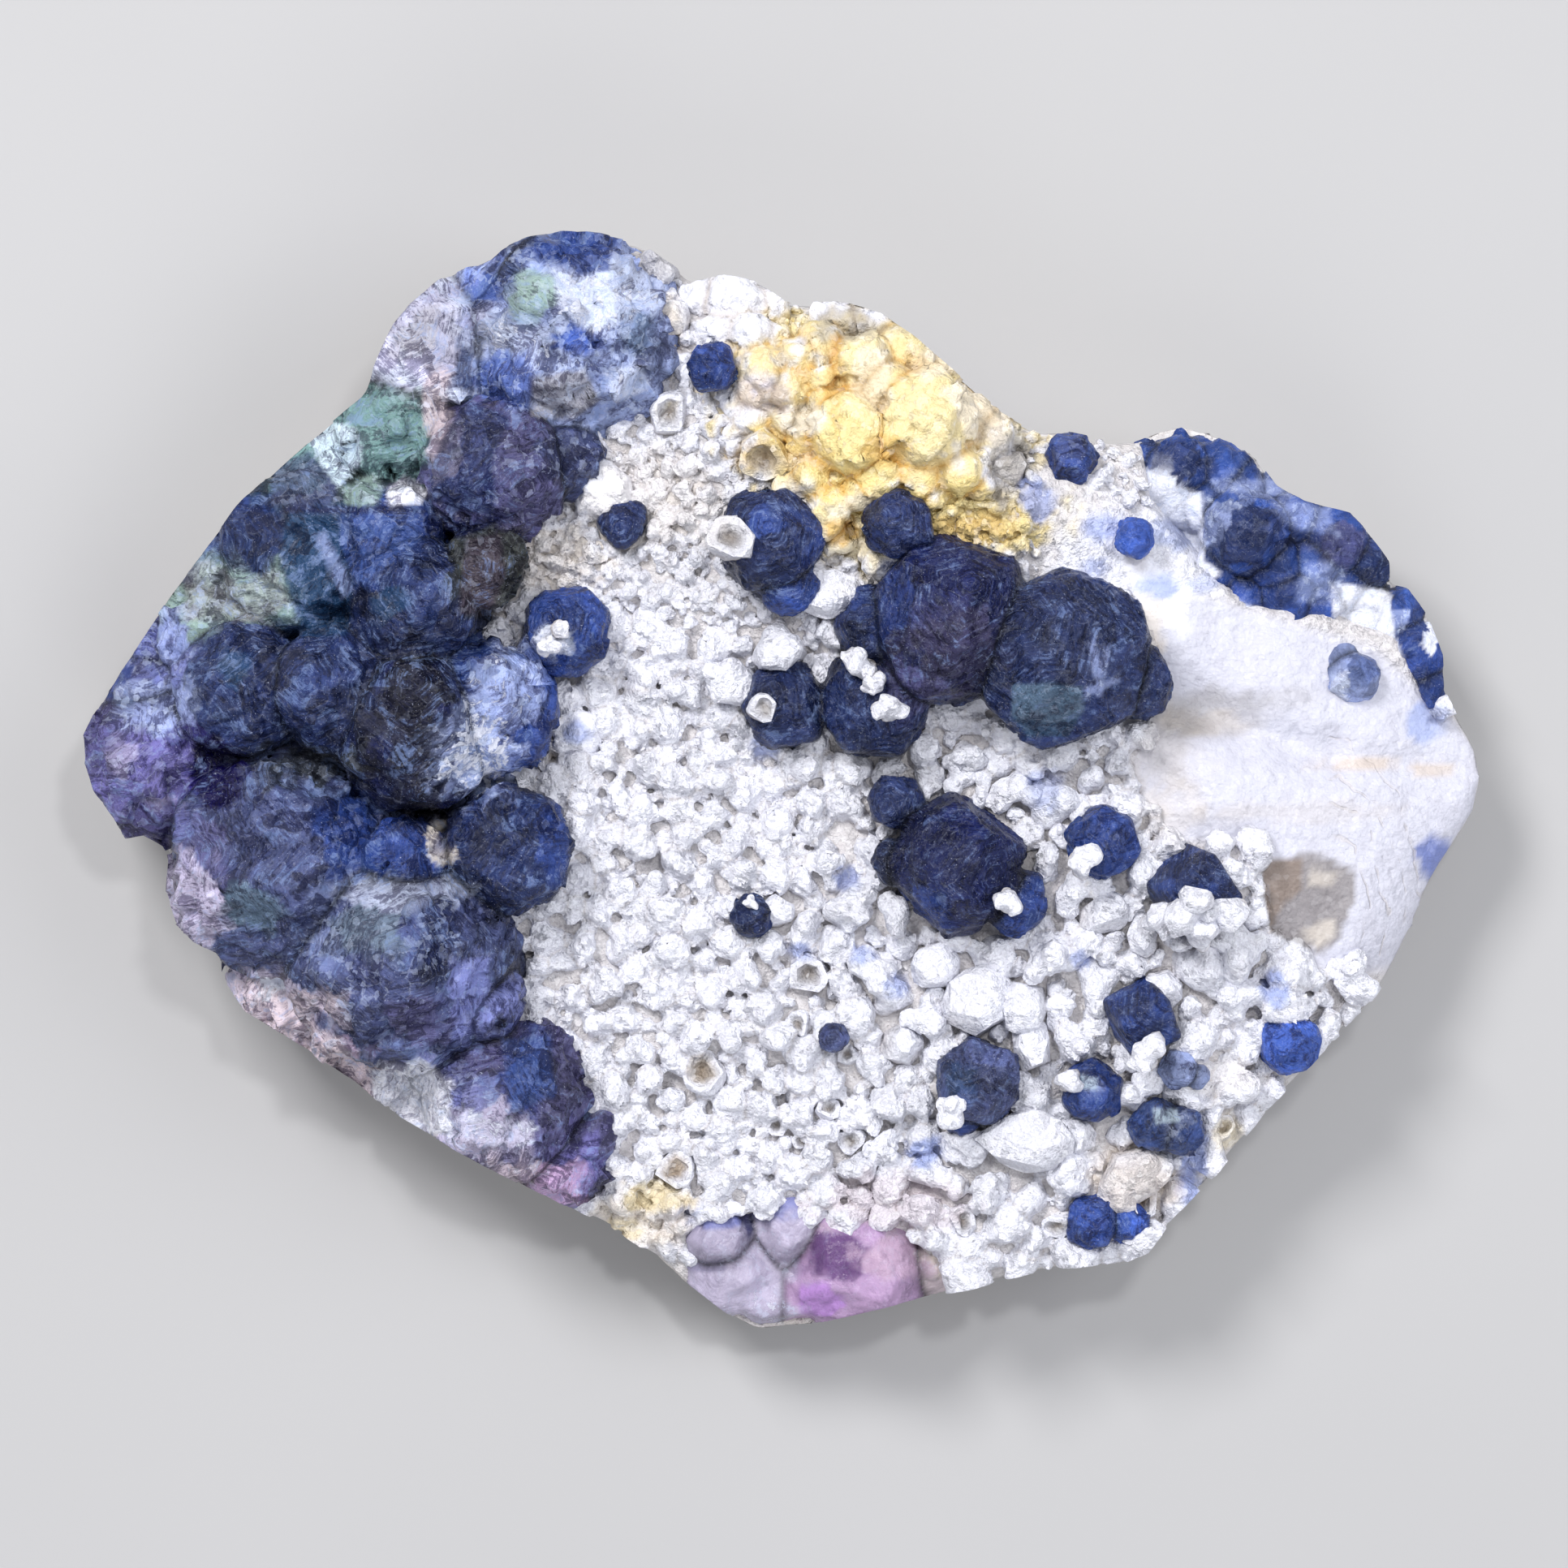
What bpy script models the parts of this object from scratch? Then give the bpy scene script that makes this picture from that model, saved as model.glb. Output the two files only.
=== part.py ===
"""Botryoidal fluorite: blue balls and crusts of fluorite on a white quartz matrix, lying on its broken back.

A Blender 4.5 script, in metres, +Z up. Seen from above, +Y is the top of the specimen. The origin is the
middle of the base. Every solid is closed, and each crystal sits in its own socket in the matrix.
"""

import math
import random
from dataclasses import dataclass

import bmesh
import bpy
import numpy as np
from mathutils import Matrix, Vector, noise

MM = 0.001

# Levels of the specimen, in millimetres above its base
WIDEST_Z = 6.5
SHELF_Z = 6.0
CEILING_Z = 40.0
BASE_SCALE = 0.93
SOCKET_GAP = 0.3
BASE_SHAVING = 0.35
FLAT_WITHIN = 0.05

# Levels (height, share of the outline's width) of the block that the specimen was broken to
STONE_BLOCK = [(0.0, BASE_SCALE), (3.0, 0.98), (WIDEST_Z, 1.009), (WIDEST_Z + 4.0, 1.009)]
STRAIGHT_BLOCK = [(0.0, BASE_SCALE), (WIDEST_Z, 1.0), (CEILING_Z, 1.0)]
DOMED_BLOCK = [(0.0, BASE_SCALE), (WIDEST_Z, 1.0), (9.0, 0.975), (11.0, 0.93), (13.5, 0.84)]

# Sizes of the steps that turn the soft block into stone
BLOCK_VOXEL = 0.9
FUSING_VOXEL = 0.5
MATRIX_TRIANGLES = 3200
CRUST_SHARE = 0.6
SOCKETED_SHARE = 0.6
EDGE_ROUNDING = 4.5

# A ball up to this radius (in millimetres) has few faces, and stands out a little so that it looks as large.
SMALL_BALL = 2.4
SMALL_CRUST_BALL = 4.1
SMALL_BALL_SCALE = 1.07
# Shortest edge left on a ball, and how deep its flat faces are cut, as shares of its radius
SHORTEST_EDGE = 0.24
DEEPEST_FACE = 0.84
SHALLOWEST_FACE = 0.93
# Half the side of a square that holds the whole specimen, in millimetres
REACH = 60.0

# Outline of the specimen from above, clockwise from its left tip, in millimetres
OUTLINE = [
    (-43.3, 3.0), (-42.7, 4.3), (-40.8, 7.3), (-38.0, 11.3), (-35.2, 15.0), (-33.3, 17.4), (-30.7, 19.7),
    (-28.3, 21.8), (-25.7, 24.0), (-25.2, 25.6), (-24.0, 28.2), (-23.0, 29.4), (-21.3, 31.0), (-19.5, 31.8),
    (-18.3, 31.9), (-17.3, 32.9), (-15.8, 33.6), (-13.8, 34.0), (-11.3, 33.9), (-8.8, 33.3), (-6.8, 32.0),
    (-5.4, 31.0), (-3.8, 31.3), (-1.8, 31.0), (0.1, 29.7), (3.7, 29.6), (6.0, 28.9), (8.2, 27.3),
    (10.7, 25.2), (13.2, 23.0), (15.5, 21.8), (17.2, 21.8), (19.0, 21.3), (21.7, 21.2), (23.2, 21.8),
    (25.0, 22.2), (26.7, 21.8), (29.2, 20.5), (30.5, 18.5), (32.2, 17.5), (35.0, 16.8), (36.2, 15.5),
    (37.5, 13.8), (37.6, 12.5), (38.7, 12.2), (40.0, 10.5), (40.9, 8.0), (41.0, 5.8), (41.7, 4.3),
    (43.0, 2.0), (43.3, 0.3), (42.8, -1.7), (41.2, -4.2), (40.0, -6.2), (39.0, -9.0), (37.5, -11.7),
    (36.2, -13.7), (32.7, -17.2), (29.7, -20.5), (26.7, -24.2), (24.2, -26.7), (22.5, -29.0), (21.2, -29.6),
    (16.7, -30.0), (11.7, -31.2), (6.7, -32.3), (1.7, -33.6), (-1.6, -34.0), (-3.1, -33.2), (-5.8, -31.2),
    (-7.8, -29.5), (-10.8, -27.5), (-15.3, -25.2), (-20.3, -22.5), (-24.8, -20.0), (-26.3, -18.5),
    (-29.8, -16.2), (-33.3, -14.0), (-34.7, -12.2), (-34.7, -10.5), (-36.3, -9.7), (-37.6, -8.5),
    (-38.2, -6.7), (-38.1, -4.7), (-38.8, -3.0), (-40.8, -3.4), (-41.3, -2.2), (-42.6, -0.5), (-43.2, 1.3),
]

# Ground that each crust grew on, as seen from above. A crust that meets the rim runs past the outline.
LEFT_CRUST_BED = [
    (-50.0, 40.0), (-10.9, 40.0), (-10.6, 31.8), (-8.6, 28.3), (-8.8, 25.3), (-10.3, 23.6), (-13.6, 21.0),
    (-13.6, 18.3), (-17.0, 15.3), (-17.9, 10.6), (-16.6, 7.3), (-16.8, 2.4), (-15.4, -3.0), (-17.3, -7.7),
    (-18.3, -10.7), (-19.8, -14.2), (-15.0, -17.0), (-13.8, -21.2), (-12.4, -25.0), (-12.2, -40.0),
    (-50.0, -40.0),
]
RIGHT_CRUST_BED = [
    (50.0, 30.0), (50.0, 4.2), (39.8, 4.6), (37.8, 8.6), (33.0, 10.4), (28.6, 10.6), (25.2, 13.4),
    (22.0, 17.6), (20.8, 30.0),
]
PURPLE_BED = [
    (-6.2, -28.4), (-4.3, -26.9), (-0.6, -25.6), (2.2, -26.6), (7.2, -27.2), (11.2, -28.8), (11.6, -40.0),
    (-7.2, -40.0),
]
# The bare face of the matrix on the right, where no druse grew
SMOOTH_FACE = [
    (16.2, 18.3), (25.7, 12.0), (36.7, 8.6), (41.2, 4.8), (46.0, 0.3), (42.0, -6.2), (38.6, -11.6),
    (34.6, -12.2), (30.4, -8.6), (28.7, -4.2), (23.7, -3.7), (21.2, 0.3), (21.7, 3.3), (22.2, 8.3),
    (20.7, 13.3),
]


@dataclass(frozen=True)
class Rise:
    """A broad swelling (or, with a negative height, a basin) in the matrix's upper surface, in millimetres."""

    x: float
    y: float
    spread: float
    height: float


# Height of the matrix's upper surface where it neither swells nor sinks
MATRIX_LEVEL = 11.5
RISES = [
    Rise(6.0, 24.0, 9.0, 4.0),
    Rise(16.0, 17.0, 7.0, 1.6),
    Rise(26.0, 4.0, 9.0, 2.6),
    Rise(33.0, -6.0, 8.0, 1.8),
    Rise(42.0, 10.0, 14.0, -4.0),
    Rise(38.0, -16.0, 12.0, -2.5),
    Rise(-5.0, -2.0, 10.0, -0.8),
    Rise(2.0, -30.0, 10.0, -2.6),
    Rise(-20.0, -30.0, 12.0, -3.0),
    Rise(-3.0, 16.0, 8.0, 0.8),
    Rise(22.0, -10.0, 6.0, 1.2),
]


# How rough the broken stone is: waves to a millimetre, how far its sides give way, how far its top rises
BREAKS_PER_MM = 0.22
SIDE_ROUGHNESS = 0.012
TOP_ROUGHNESS = 0.5
TOP_SHARE = 0.45
BLEND_HEIGHT = 4.0

# The larger lumps of the druse: tries, distance from the rim and from a bed, and how close two may grow
LUMP_SEED = 11
LUMP_TRIES = 9000
LUMP_RIM_GAP = 1.2
LUMP_BED_GAP = 0.3
LUMP_CROWDING = 0.72
LUMP_RADII = (1.2, 1.8)
LUMP_RISE = 0.15
# Where the lumps grew larger: x, y, spread (twice its square) and how much is added to their radius
LARGER_LUMPS = [(8.0, 23.0, 90.0, 1.1), (20.0, -14.0, 160.0, 0.5)]


@dataclass(frozen=True)
class Ball:
    """A ball of fluorite with its centre and radius in millimetres, and how many flat faces it has grown."""

    x: float
    y: float
    z: float
    radius: float
    faces: int = 9


@dataclass(frozen=True)
class Growth:
    """One crystal, or one cluster of balls grown into each other."""

    name: str
    balls: tuple[Ball, ...]
    colour: str = "blue"


@dataclass(frozen=True)
class Crust:
    """A crust of balls grown together on a bed that fills the gaps between them."""

    name: str
    bed: tuple
    bed_top: float
    floor: float
    balls: tuple[Ball, ...]
    colour: str


LEFT_CRUST = Crust(
    "fluorite_crust_left",
    LEFT_CRUST_BED,
    12.5,
    SHELF_Z,
    (
        Ball(-13.3, 27.3, 11.6, 6.6, 14), Ball(-16.4, 30.4, 11.0, 3.6), Ball(-9.9, 26.2, 13.0, 3.6),
        Ball(-17.3, 19.6, 14.6, 4.5), Ball(-13.5, 20.0, 13.8, 2.2), Ball(-21.8, 26.3, 10.6, 4.9),
        Ball(-23.6, 21.8, 11.6, 4.0), Ball(-28.5, 18.8, 10.2, 3.8), Ball(-29.6, 14.3, 12.6, 4.8),
        Ball(-33.8, 13.0, 10.2, 3.4), Ball(-24.3, 15.4, 14.0, 3.0), Ball(-35.1, 9.6, 10.4, 3.4),
        Ball(-22.9, 11.3, 15.4, 3.8), Ball(-18.4, 13.4, 15.2, 2.4), Ball(-33.4, 5.9, 13.6, 3.8),
        Ball(-27.6, 5.8, 15.2, 3.5), Ball(-22.6, 3.2, 15.4, 4.4), Ball(-18.0, 4.6, 14.4, 3.7),
        Ball(-38.6, 1.4, 8.8, 4.7), Ball(-39.2, 5.6, 8.4, 2.8), Ball(-31.1, -4.8, 11.6, 6.4, 14),
        Ball(-16.9, -4.0, 14.4, 3.5), Ball(-23.4, -10.7, 12.4, 6.6, 14), Ball(-17.2, -19.6, 10.2, 4.9),
        Ball(-13.6, -23.0, 9.4, 2.9), Ball(-23.2, -5.2, 14.2, 2.7), Ball(-18.6, -13.2, 13.2, 2.4),
        Ball(-31.0, -13.4, 8.6, 3.4), Ball(-26.4, -16.6, 8.2, 3.4), Ball(-36.2, -7.2, 8.4, 2.8),
        Ball(-21.2, -21.2, 7.8, 3.0), Ball(-38.4, 9.4, 8.2, 2.8),
    ),
    "blue",
)
RIGHT_CRUST = Crust(
    "fluorite_crust_right",
    RIGHT_CRUST_BED,
    8.8,
    SHELF_Z - 0.5,
    (
        Ball(28.2, 15.2, 9.6, 3.2), Ball(24.2, 18.6, 8.8, 3.3), Ball(27.8, 19.0, 8.0, 2.6),
        Ball(31.3, 12.4, 8.8, 3.0), Ball(34.2, 14.6, 8.0, 2.8), Ball(36.1, 13.2, 7.4, 2.1),
        Ball(31.6, 16.0, 8.6, 2.2), Ball(39.2, 8.5, 6.9, 2.0), Ball(38.0, 10.9, 7.0, 1.9),
        Ball(39.9, 6.2, 6.8, 1.7), Ball(26.6, 13.2, 9.6, 1.8),
    ),
    "pale_blue",
)
PURPLE_CRUST = Crust(
    "purple_mass",
    PURPLE_BED,
    8.4,
    SHELF_Z - 2.0,
    (
        Ball(4.8, -29.9, 6.2, 4.6, 12), Ball(-3.2, -30.3, 6.4, 3.0), Ball(-4.0, -28.2, 8.0, 2.0),
        Ball(0.4, -27.6, 7.4, 2.2), Ball(8.8, -29.6, 6.6, 2.4),
    ),
    "purple",
)
CRUSTS = [LEFT_CRUST, RIGHT_CRUST, PURPLE_CRUST]

GROWTHS = [
    Growth("paired_balls", (
        Ball(10.1, 10.0, 15.4, 5.0, 14), Ball(17.0, 7.7, 16.0, 5.3, 14), Ball(5.5, 4.9, 14.0, 3.3),
        Ball(0.1, 4.9, 13.2, 2.6), Ball(21.6, 6.3, 14.6, 2.3), Ball(5.9, 9.6, 14.8, 2.6),
    )),
    Growth("middle_ball", (
        Ball(9.9, -5.0, 14.4, 4.3, 14), Ball(6.7, -1.0, 13.4, 1.8), Ball(14.2, -7.2, 13.5, 2.0),
        Ball(6.9, -4.6, 13.2, 1.7),
    )),
    Growth("ringed_ball", (Ball(-13.3, 9.4, 13.6, 2.7),)),
    Growth("top_ball", (Ball(-4.4, 25.5, 16.0, 1.5),)),
    Growth("ball_by_hollow_grain", (Ball(-0.9, 14.9, 15.4, 3.2), Ball(0.2, 12.4, 14.8, 2.0))),
    Growth("half_buried_ball", (Ball(-9.9, 16.1, 13.4, 1.5),)),
    Growth("pointed_crystal", (Ball(6.9, 15.8, 16.8, 2.1, 14),)),
    Growth("ball_by_smooth_face", (Ball(19.6, -3.6, 14.2, 2.2),)),
    Growth("lower_ball", (Ball(11.9, -18.3, 12.4, 2.6), Ball(10.9, -20.3, 11.7, 1.3))),
    Growth("glassy_ball", (Ball(19.0, -18.9, 12.4, 2.0),)),
    Growth("glassy_ball_low", (Ball(23.6, -21.1, 11.8, 2.1),)),
    Growth("edge_ball", (Ball(31.2, -16.0, 10.4, 1.9),)),
    Growth("bottom_crystals", (Ball(19.0, -27.0, 10.8, 1.6), Ball(21.3, -27.1, 10.2, 1.4))),
    Growth("small_ball_middle", (Ball(-2.0, -8.1, 12.0, 1.3),)),
    Growth("small_ball_low", (Ball(3.0, -15.6, 11.6, 0.9),)),
    Growth("trefoil_ball", (Ball(24.3, -17.6, 12.6, 1.2), Ball(25.4, -18.0, 12.2, 0.8))),
    Growth("patch_ball", (Ball(21.5, 15.1, 14.2, 1.2),), "pale_blue"),
    Growth("pale_ball_right", (Ball(35.3, 6.2, 10.0, 1.9),), "pale_blue"),
    Growth("rim_ball", (Ball(17.7, 20.0, 13.4, 2.0),)),
]


@dataclass(frozen=True)
class CubeCorner:
    """A cube of fluorite whose corner stands out of the druse: centre and edge in millimetres, turn in degrees."""

    name: str
    x: float
    y: float
    z: float
    edge: float
    turn: tuple[float, float, float]


CUBES = [
    CubeCorner("cube_corner_upper", 24.6, -6.4, 14.4, 4.4, (48.0, 30.0, 20.0)),
    CubeCorner("cube_corner_lower", 22.0, -14.0, 13.2, 3.4, (40.0, 34.0, -12.0)),
]

COLOURS = {
    "white": ((0.72, 0.70, 0.70), 0.75),
    "blue": ((0.035, 0.055, 0.16), 0.35),
    "pale_blue": ((0.11, 0.17, 0.42), 0.4),
    "purple": ((0.36, 0.22, 0.42), 0.35),
}


def clear_scene():
    """Empties the scene, so that the script can run from any file."""
    for obj in list(bpy.data.objects):
        bpy.data.objects.remove(obj)


def new_collection(name):
    collection = bpy.data.collections.new(name)
    bpy.context.scene.collection.children.link(collection)
    return collection


def new_material(name):
    """A plain finish for one of the specimen's minerals."""
    colour, roughness = COLOURS[name]
    made = bpy.data.materials.new(name)
    made.use_nodes = True
    shader = made.node_tree.nodes["Principled BSDF"]
    shader.inputs["Base Color"].default_value = (*colour, 1.0)
    shader.inputs["Roughness"].default_value = roughness
    shader.inputs["Metallic"].default_value = 0.0
    return made


def object_from(bm, name, collection):
    """Turns a bmesh into an object, in metres, and frees it."""
    bmesh.ops.recalc_face_normals(bm, faces=bm.faces)
    mesh = bpy.data.meshes.new(name)
    bm.to_mesh(mesh)
    bm.free()
    obj = bpy.data.objects.new(name, mesh)
    collection.objects.link(obj)
    return obj


def cutter(obj):
    obj.hide_render = True
    obj.display_type = "WIRE"
    return obj


def bake(obj):
    """Replaces the object's mesh by what its modifiers make of it."""
    bpy.context.view_layer.update()
    graph = bpy.context.evaluated_depsgraph_get()
    baked = bpy.data.meshes.new_from_object(obj.evaluated_get(graph))
    obj.modifiers.clear()
    obj.data = baked


def remesh(obj, voxel):
    step = obj.modifiers.new("fuse", "REMESH")
    step.mode = "VOXEL"
    step.voxel_size = voxel * MM
    step.use_smooth_shade = False
    bake(obj)


def lighten(obj, share):
    """Leaves the given share of the object's triangles, where they shape it most."""
    step = obj.modifiers.new("fewer_faces", "DECIMATE")
    step.ratio = share
    bake(obj)


def combine(obj, operation, others):
    """One exact Boolean between the object and every object in the collection."""
    step = obj.modifiers.new("combine", "BOOLEAN")
    step.operation = operation
    step.solver = "EXACT"
    step.operand_type = "COLLECTION"
    step.collection = others
    bake(obj)


def distance_to_edge(points, polygon):
    """Distance in the plane from each point to the polygon, positive inside it."""
    start = np.asarray(polygon, float)
    end = np.roll(start, -1, axis=0)
    run = end - start
    offset = points[:, None, :] - start[None]
    share = np.clip((offset * run).sum(2) / (run**2).sum(1), 0.0, 1.0)
    gaps = np.linalg.norm(offset - share[..., None] * run, axis=2).min(1)
    above = points[:, None, 1] < np.stack([start[:, 1], end[:, 1]], 1).max(1)
    below = points[:, None, 1] >= np.stack([start[:, 1], end[:, 1]], 1).min(1)
    slope = np.where(run[:, 1] == 0, 1.0, run[:, 1])
    crossing = start[:, 0] + (points[:, None, 1] - start[:, 1]) * run[:, 0] / slope
    inside = ((above & below) & (points[:, None, 0] < crossing)).sum(1) % 2 == 1
    return np.where(inside, gaps, -gaps)


def matrix_top(points):
    """Height of the matrix's upper surface at each point, before its rim is rounded off."""
    height = np.full(len(points), MATRIX_LEVEL)
    for rise in RISES:
        away = ((points - (rise.x, rise.y)) ** 2).sum(1)
        height += rise.height * np.exp(-away / (2 * rise.spread**2))
    return height


def rounded_top(points):
    """Height of the upper surface, which rolls over to the widest level at the rim."""
    inward = np.clip(distance_to_edge(points, OUTLINE) / EDGE_ROUNDING, 0.0, 1.0)
    return WIDEST_Z + (matrix_top(points) - WIDEST_Z) * np.sqrt(1 - (1 - inward) ** 2)


def widened(polygon, gap):
    """The polygon with every side moved outwards by the gap. The polygon runs clockwise."""
    moved = []
    for i, corner in enumerate(polygon):
        before = (Vector(corner) - Vector(polygon[i - 1])).normalized()
        after = (Vector(polygon[(i + 1) % len(polygon)]) - Vector(corner)).normalized()
        outward = Vector((-before.y - after.y, before.x + after.x)).normalized()
        stretch = max(outward.dot(Vector((-before.y, before.x))), 0.5)
        moved.append(Vector(corner) + outward * gap / stretch)
    return moved


def prism(polygon, levels, name, collection):
    """A closed block: the polygon drawn at each (height, scale) level and skinned from one to the next."""
    bm = bmesh.new()
    height, scale = levels[0]
    verts = [bm.verts.new((x * scale * MM, y * scale * MM, height * MM)) for x, y in polygon]
    base = face = bm.faces.new(verts)
    for next_height, next_scale in levels[1:]:
        made = bmesh.ops.extrude_face_region(bm, geom=[face])["geom"]
        if face is not base:
            bmesh.ops.delete(bm, geom=[face], context="FACES_ONLY")
        face = next(item for item in made if isinstance(item, bmesh.types.BMFace))
        ratio = next_scale / scale
        for vert in face.verts:
            vert.co = (vert.co.x * ratio, vert.co.y * ratio, next_height * MM)
        height, scale = next_height, next_scale
    return object_from(bm, name, collection)


def faceted_ball(ball, name, collection, gap=0.0, small=SMALL_BALL):
    """A ball with flat growth faces cut on it. A gap makes the same ball that much larger all round."""
    choice = random.Random(f"{ball.x} {ball.y}")
    bm = bmesh.new()
    if ball.radius > small:
        bmesh.ops.create_icosphere(bm, subdivisions=2, radius=1.0)
    else:
        bmesh.ops.create_icosphere(bm, subdivisions=1, radius=SMALL_BALL_SCALE)
    for _ in range(ball.faces):
        normal = Vector([choice.gauss(0, 1) for _ in range(3)]).normalized()
        depth = choice.uniform(DEEPEST_FACE, SHALLOWEST_FACE)
        everything = bm.verts[:] + bm.edges[:] + bm.faces[:]
        cut = bmesh.ops.bisect_plane(
            bm, geom=everything, plane_co=normal * depth, plane_no=normal, clear_outer=True
        )["geom_cut"]
        rim = [item for item in cut if isinstance(item, bmesh.types.BMEdge)]
        bmesh.ops.contextual_create(bm, geom=rim)
    bmesh.ops.remove_doubles(bm, verts=bm.verts, dist=SHORTEST_EDGE)
    bmesh.ops.delete(bm, geom=bm.edges[:] + bm.faces[:], context="EDGES_FACES")
    bmesh.ops.convex_hull(bm, input=bm.verts)
    inner = [vert for vert in bm.verts if not vert.link_faces]
    bmesh.ops.delete(bm, geom=inner, context="VERTS")
    size = (ball.radius + gap) * MM
    place = Matrix.Translation(Vector((ball.x, ball.y, ball.z)) * MM) @ Matrix.Scale(size, 4)
    bmesh.ops.transform(bm, matrix=place, verts=bm.verts)
    return object_from(bm, name, collection)


def cube_corner(cube, name, collection, gap=0.0):
    """A cube turned so that one corner stands up."""
    bm = bmesh.new()
    bmesh.ops.create_cube(bm, size=(cube.edge + 2 * gap) * MM)
    turn = Matrix.Identity(4)
    for axis, angle in zip("XYZ", cube.turn):
        turn = Matrix.Rotation(math.radians(angle), 4, axis) @ turn
    place = Matrix.Translation(Vector((cube.x, cube.y, cube.z)) * MM) @ turn
    bmesh.ops.transform(bm, matrix=place, verts=bm.verts)
    return object_from(bm, name, collection)


def fused(shapes, name, collection):
    """The union of the shapes as one object in the collection."""
    first, *others = shapes
    if others:
        operands = new_collection(f"{name}_operands")
        for other in others:
            other.users_collection[0].objects.unlink(other)
            operands.objects.link(cutter(other))
        combine(first, "UNION", operands)
        for other in others:
            bpy.data.objects.remove(other)
        bpy.data.collections.remove(operands)
    first.users_collection[0].objects.unlink(first)
    collection.objects.link(first)
    first.name = name
    return first


def trim(obj, block, operation):
    """Cuts the object with one block, which is then removed."""
    operands = new_collection("trim")
    block.users_collection[0].objects.unlink(block)
    operands.objects.link(cutter(block))
    combine(obj, operation, operands)
    bpy.data.objects.remove(block)
    bpy.data.collections.remove(operands)


def crust_shape(crust, collection, gap=0.0):
    """A crust's bed and balls in one solid with a flat underside."""
    name = crust.name
    bed_top = CEILING_Z if gap else crust.bed_top
    levels = [(crust.floor - gap, 1.0), (bed_top, 1.0)]
    bed = prism(widened(crust.bed, gap), levels, f"{name}_bed", collection)
    if not gap:
        trim(bed, prism(OUTLINE, DOMED_BLOCK, "domed_block", collection), "INTERSECT")
    balls = [
        faceted_ball(ball, f"{name}_{i}", collection, gap, SMALL_CRUST_BALL)
        for i, ball in enumerate(crust.balls)
    ]
    solid = fused([bed, *balls], name, collection)
    square = [(-REACH, -REACH), (-REACH, REACH), (REACH, REACH), (REACH, -REACH)]
    above_floor = prism(square, [(crust.floor - gap, 1.0), (CEILING_Z + 1.0, 1.0)], "above_floor", collection)
    trim(solid, above_floor, "INTERSECT")
    return solid


def biggest_piece(obj):
    """Removes crumbs that the sockets cut loose, and keeps the stone itself."""
    bm = bmesh.new()
    bm.from_mesh(obj.data)
    unseen = set(bm.verts)
    pieces = []
    while unseen:
        piece = {unseen.pop()}
        edge = list(piece)
        while edge:
            near = {link.other_vert(vert) for vert in edge for link in vert.link_edges} & unseen
            unseen -= near
            piece |= near
            edge = list(near)
        pieces.append(piece)
    keep = max(pieces, key=len)
    bmesh.ops.delete(bm, geom=[vert for vert in bm.verts if vert not in keep], context="VERTS")
    bm.to_mesh(obj.data)
    bm.free()


def lump_places():
    """Centres and radii of the larger druse lumps, in millimetres, thrown at random with no two crowded."""
    choice = random.Random(LUMP_SEED)
    beds = [LEFT_CRUST_BED, RIGHT_CRUST_BED, PURPLE_BED, SMOOTH_FACE]
    places = []
    for _ in range(LUMP_TRIES):
        spot = np.array([[choice.uniform(-20.0, 40.0), choice.uniform(-33.0, 33.0)]])
        if distance_to_edge(spot, OUTLINE)[0] < LUMP_RIM_GAP:
            continue
        if max(distance_to_edge(spot, bed)[0] for bed in beds) > LUMP_BED_GAP:
            continue
        x, y = spot[0]
        radius = choice.uniform(*LUMP_RADII)
        for middle_x, middle_y, spread, added in LARGER_LUMPS:
            radius += added * math.exp(-((x - middle_x) ** 2 + (y - middle_y) ** 2) / spread)
        if all(math.hypot(x - a, y - b) > LUMP_CROWDING * (radius + r) for a, b, r in places):
            places.append((x, y, radius))
    return places


def break_surface(stone):
    """Lifts the block's top to the rolling surface of the matrix, and roughens it and the sides."""
    points = np.empty(len(stone.data.vertices) * 3)
    stone.data.vertices.foreach_get("co", points)
    points = points.reshape(-1, 3) / MM
    upper = np.clip((points[:, 2] - WIDEST_Z) / BLEND_HEIGHT, 0.0, 1.0)
    lifted = WIDEST_Z + upper * (rounded_top(points[:, :2]) - WIDEST_Z)
    points[:, 2] = np.where(points[:, 2] > WIDEST_Z, lifted, points[:, 2])
    for point in points:
        rough = noise.fractal(Vector(point) * BREAKS_PER_MM, 1.0, 2.0, 4)
        share = 1.0 if point[2] < WIDEST_Z + 1.0 else TOP_SHARE
        if point[2] > 1.0:
            point[:2] *= 1.0 - SIDE_ROUGHNESS * share * abs(rough)
            point[2] += TOP_ROUGHNESS * rough * share
    stone.data.vertices.foreach_set("co", (points * MM).ravel())


def add_lumps(stone):
    """Adds the larger lumps of the druse to the stone's mesh."""
    places = lump_places()
    tops = rounded_top(np.array([(x, y) for x, y, _ in places]))
    bm = bmesh.new()
    bm.from_mesh(stone.data)
    for (x, y, radius), top in zip(places, tops):
        spot = Matrix.Translation(Vector((x, y, top + LUMP_RISE * radius)) * MM)
        bmesh.ops.create_icosphere(bm, subdivisions=2, radius=radius * MM, matrix=spot)
    bm.to_mesh(stone.data)
    bm.free()


def matrix_stone(collection):
    """The quartz matrix: a broken block with a rolling top, with the druse lumps fused to it."""
    stone = prism(OUTLINE, STONE_BLOCK, "matrix", collection)
    remesh(stone, BLOCK_VOXEL)
    break_surface(stone)
    add_lumps(stone)
    remesh(stone, FUSING_VOXEL)
    stone.data.calc_loop_triangles()
    lighten(stone, MATRIX_TRIANGLES / len(stone.data.loop_triangles))
    level_base(stone)
    return stone


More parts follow.
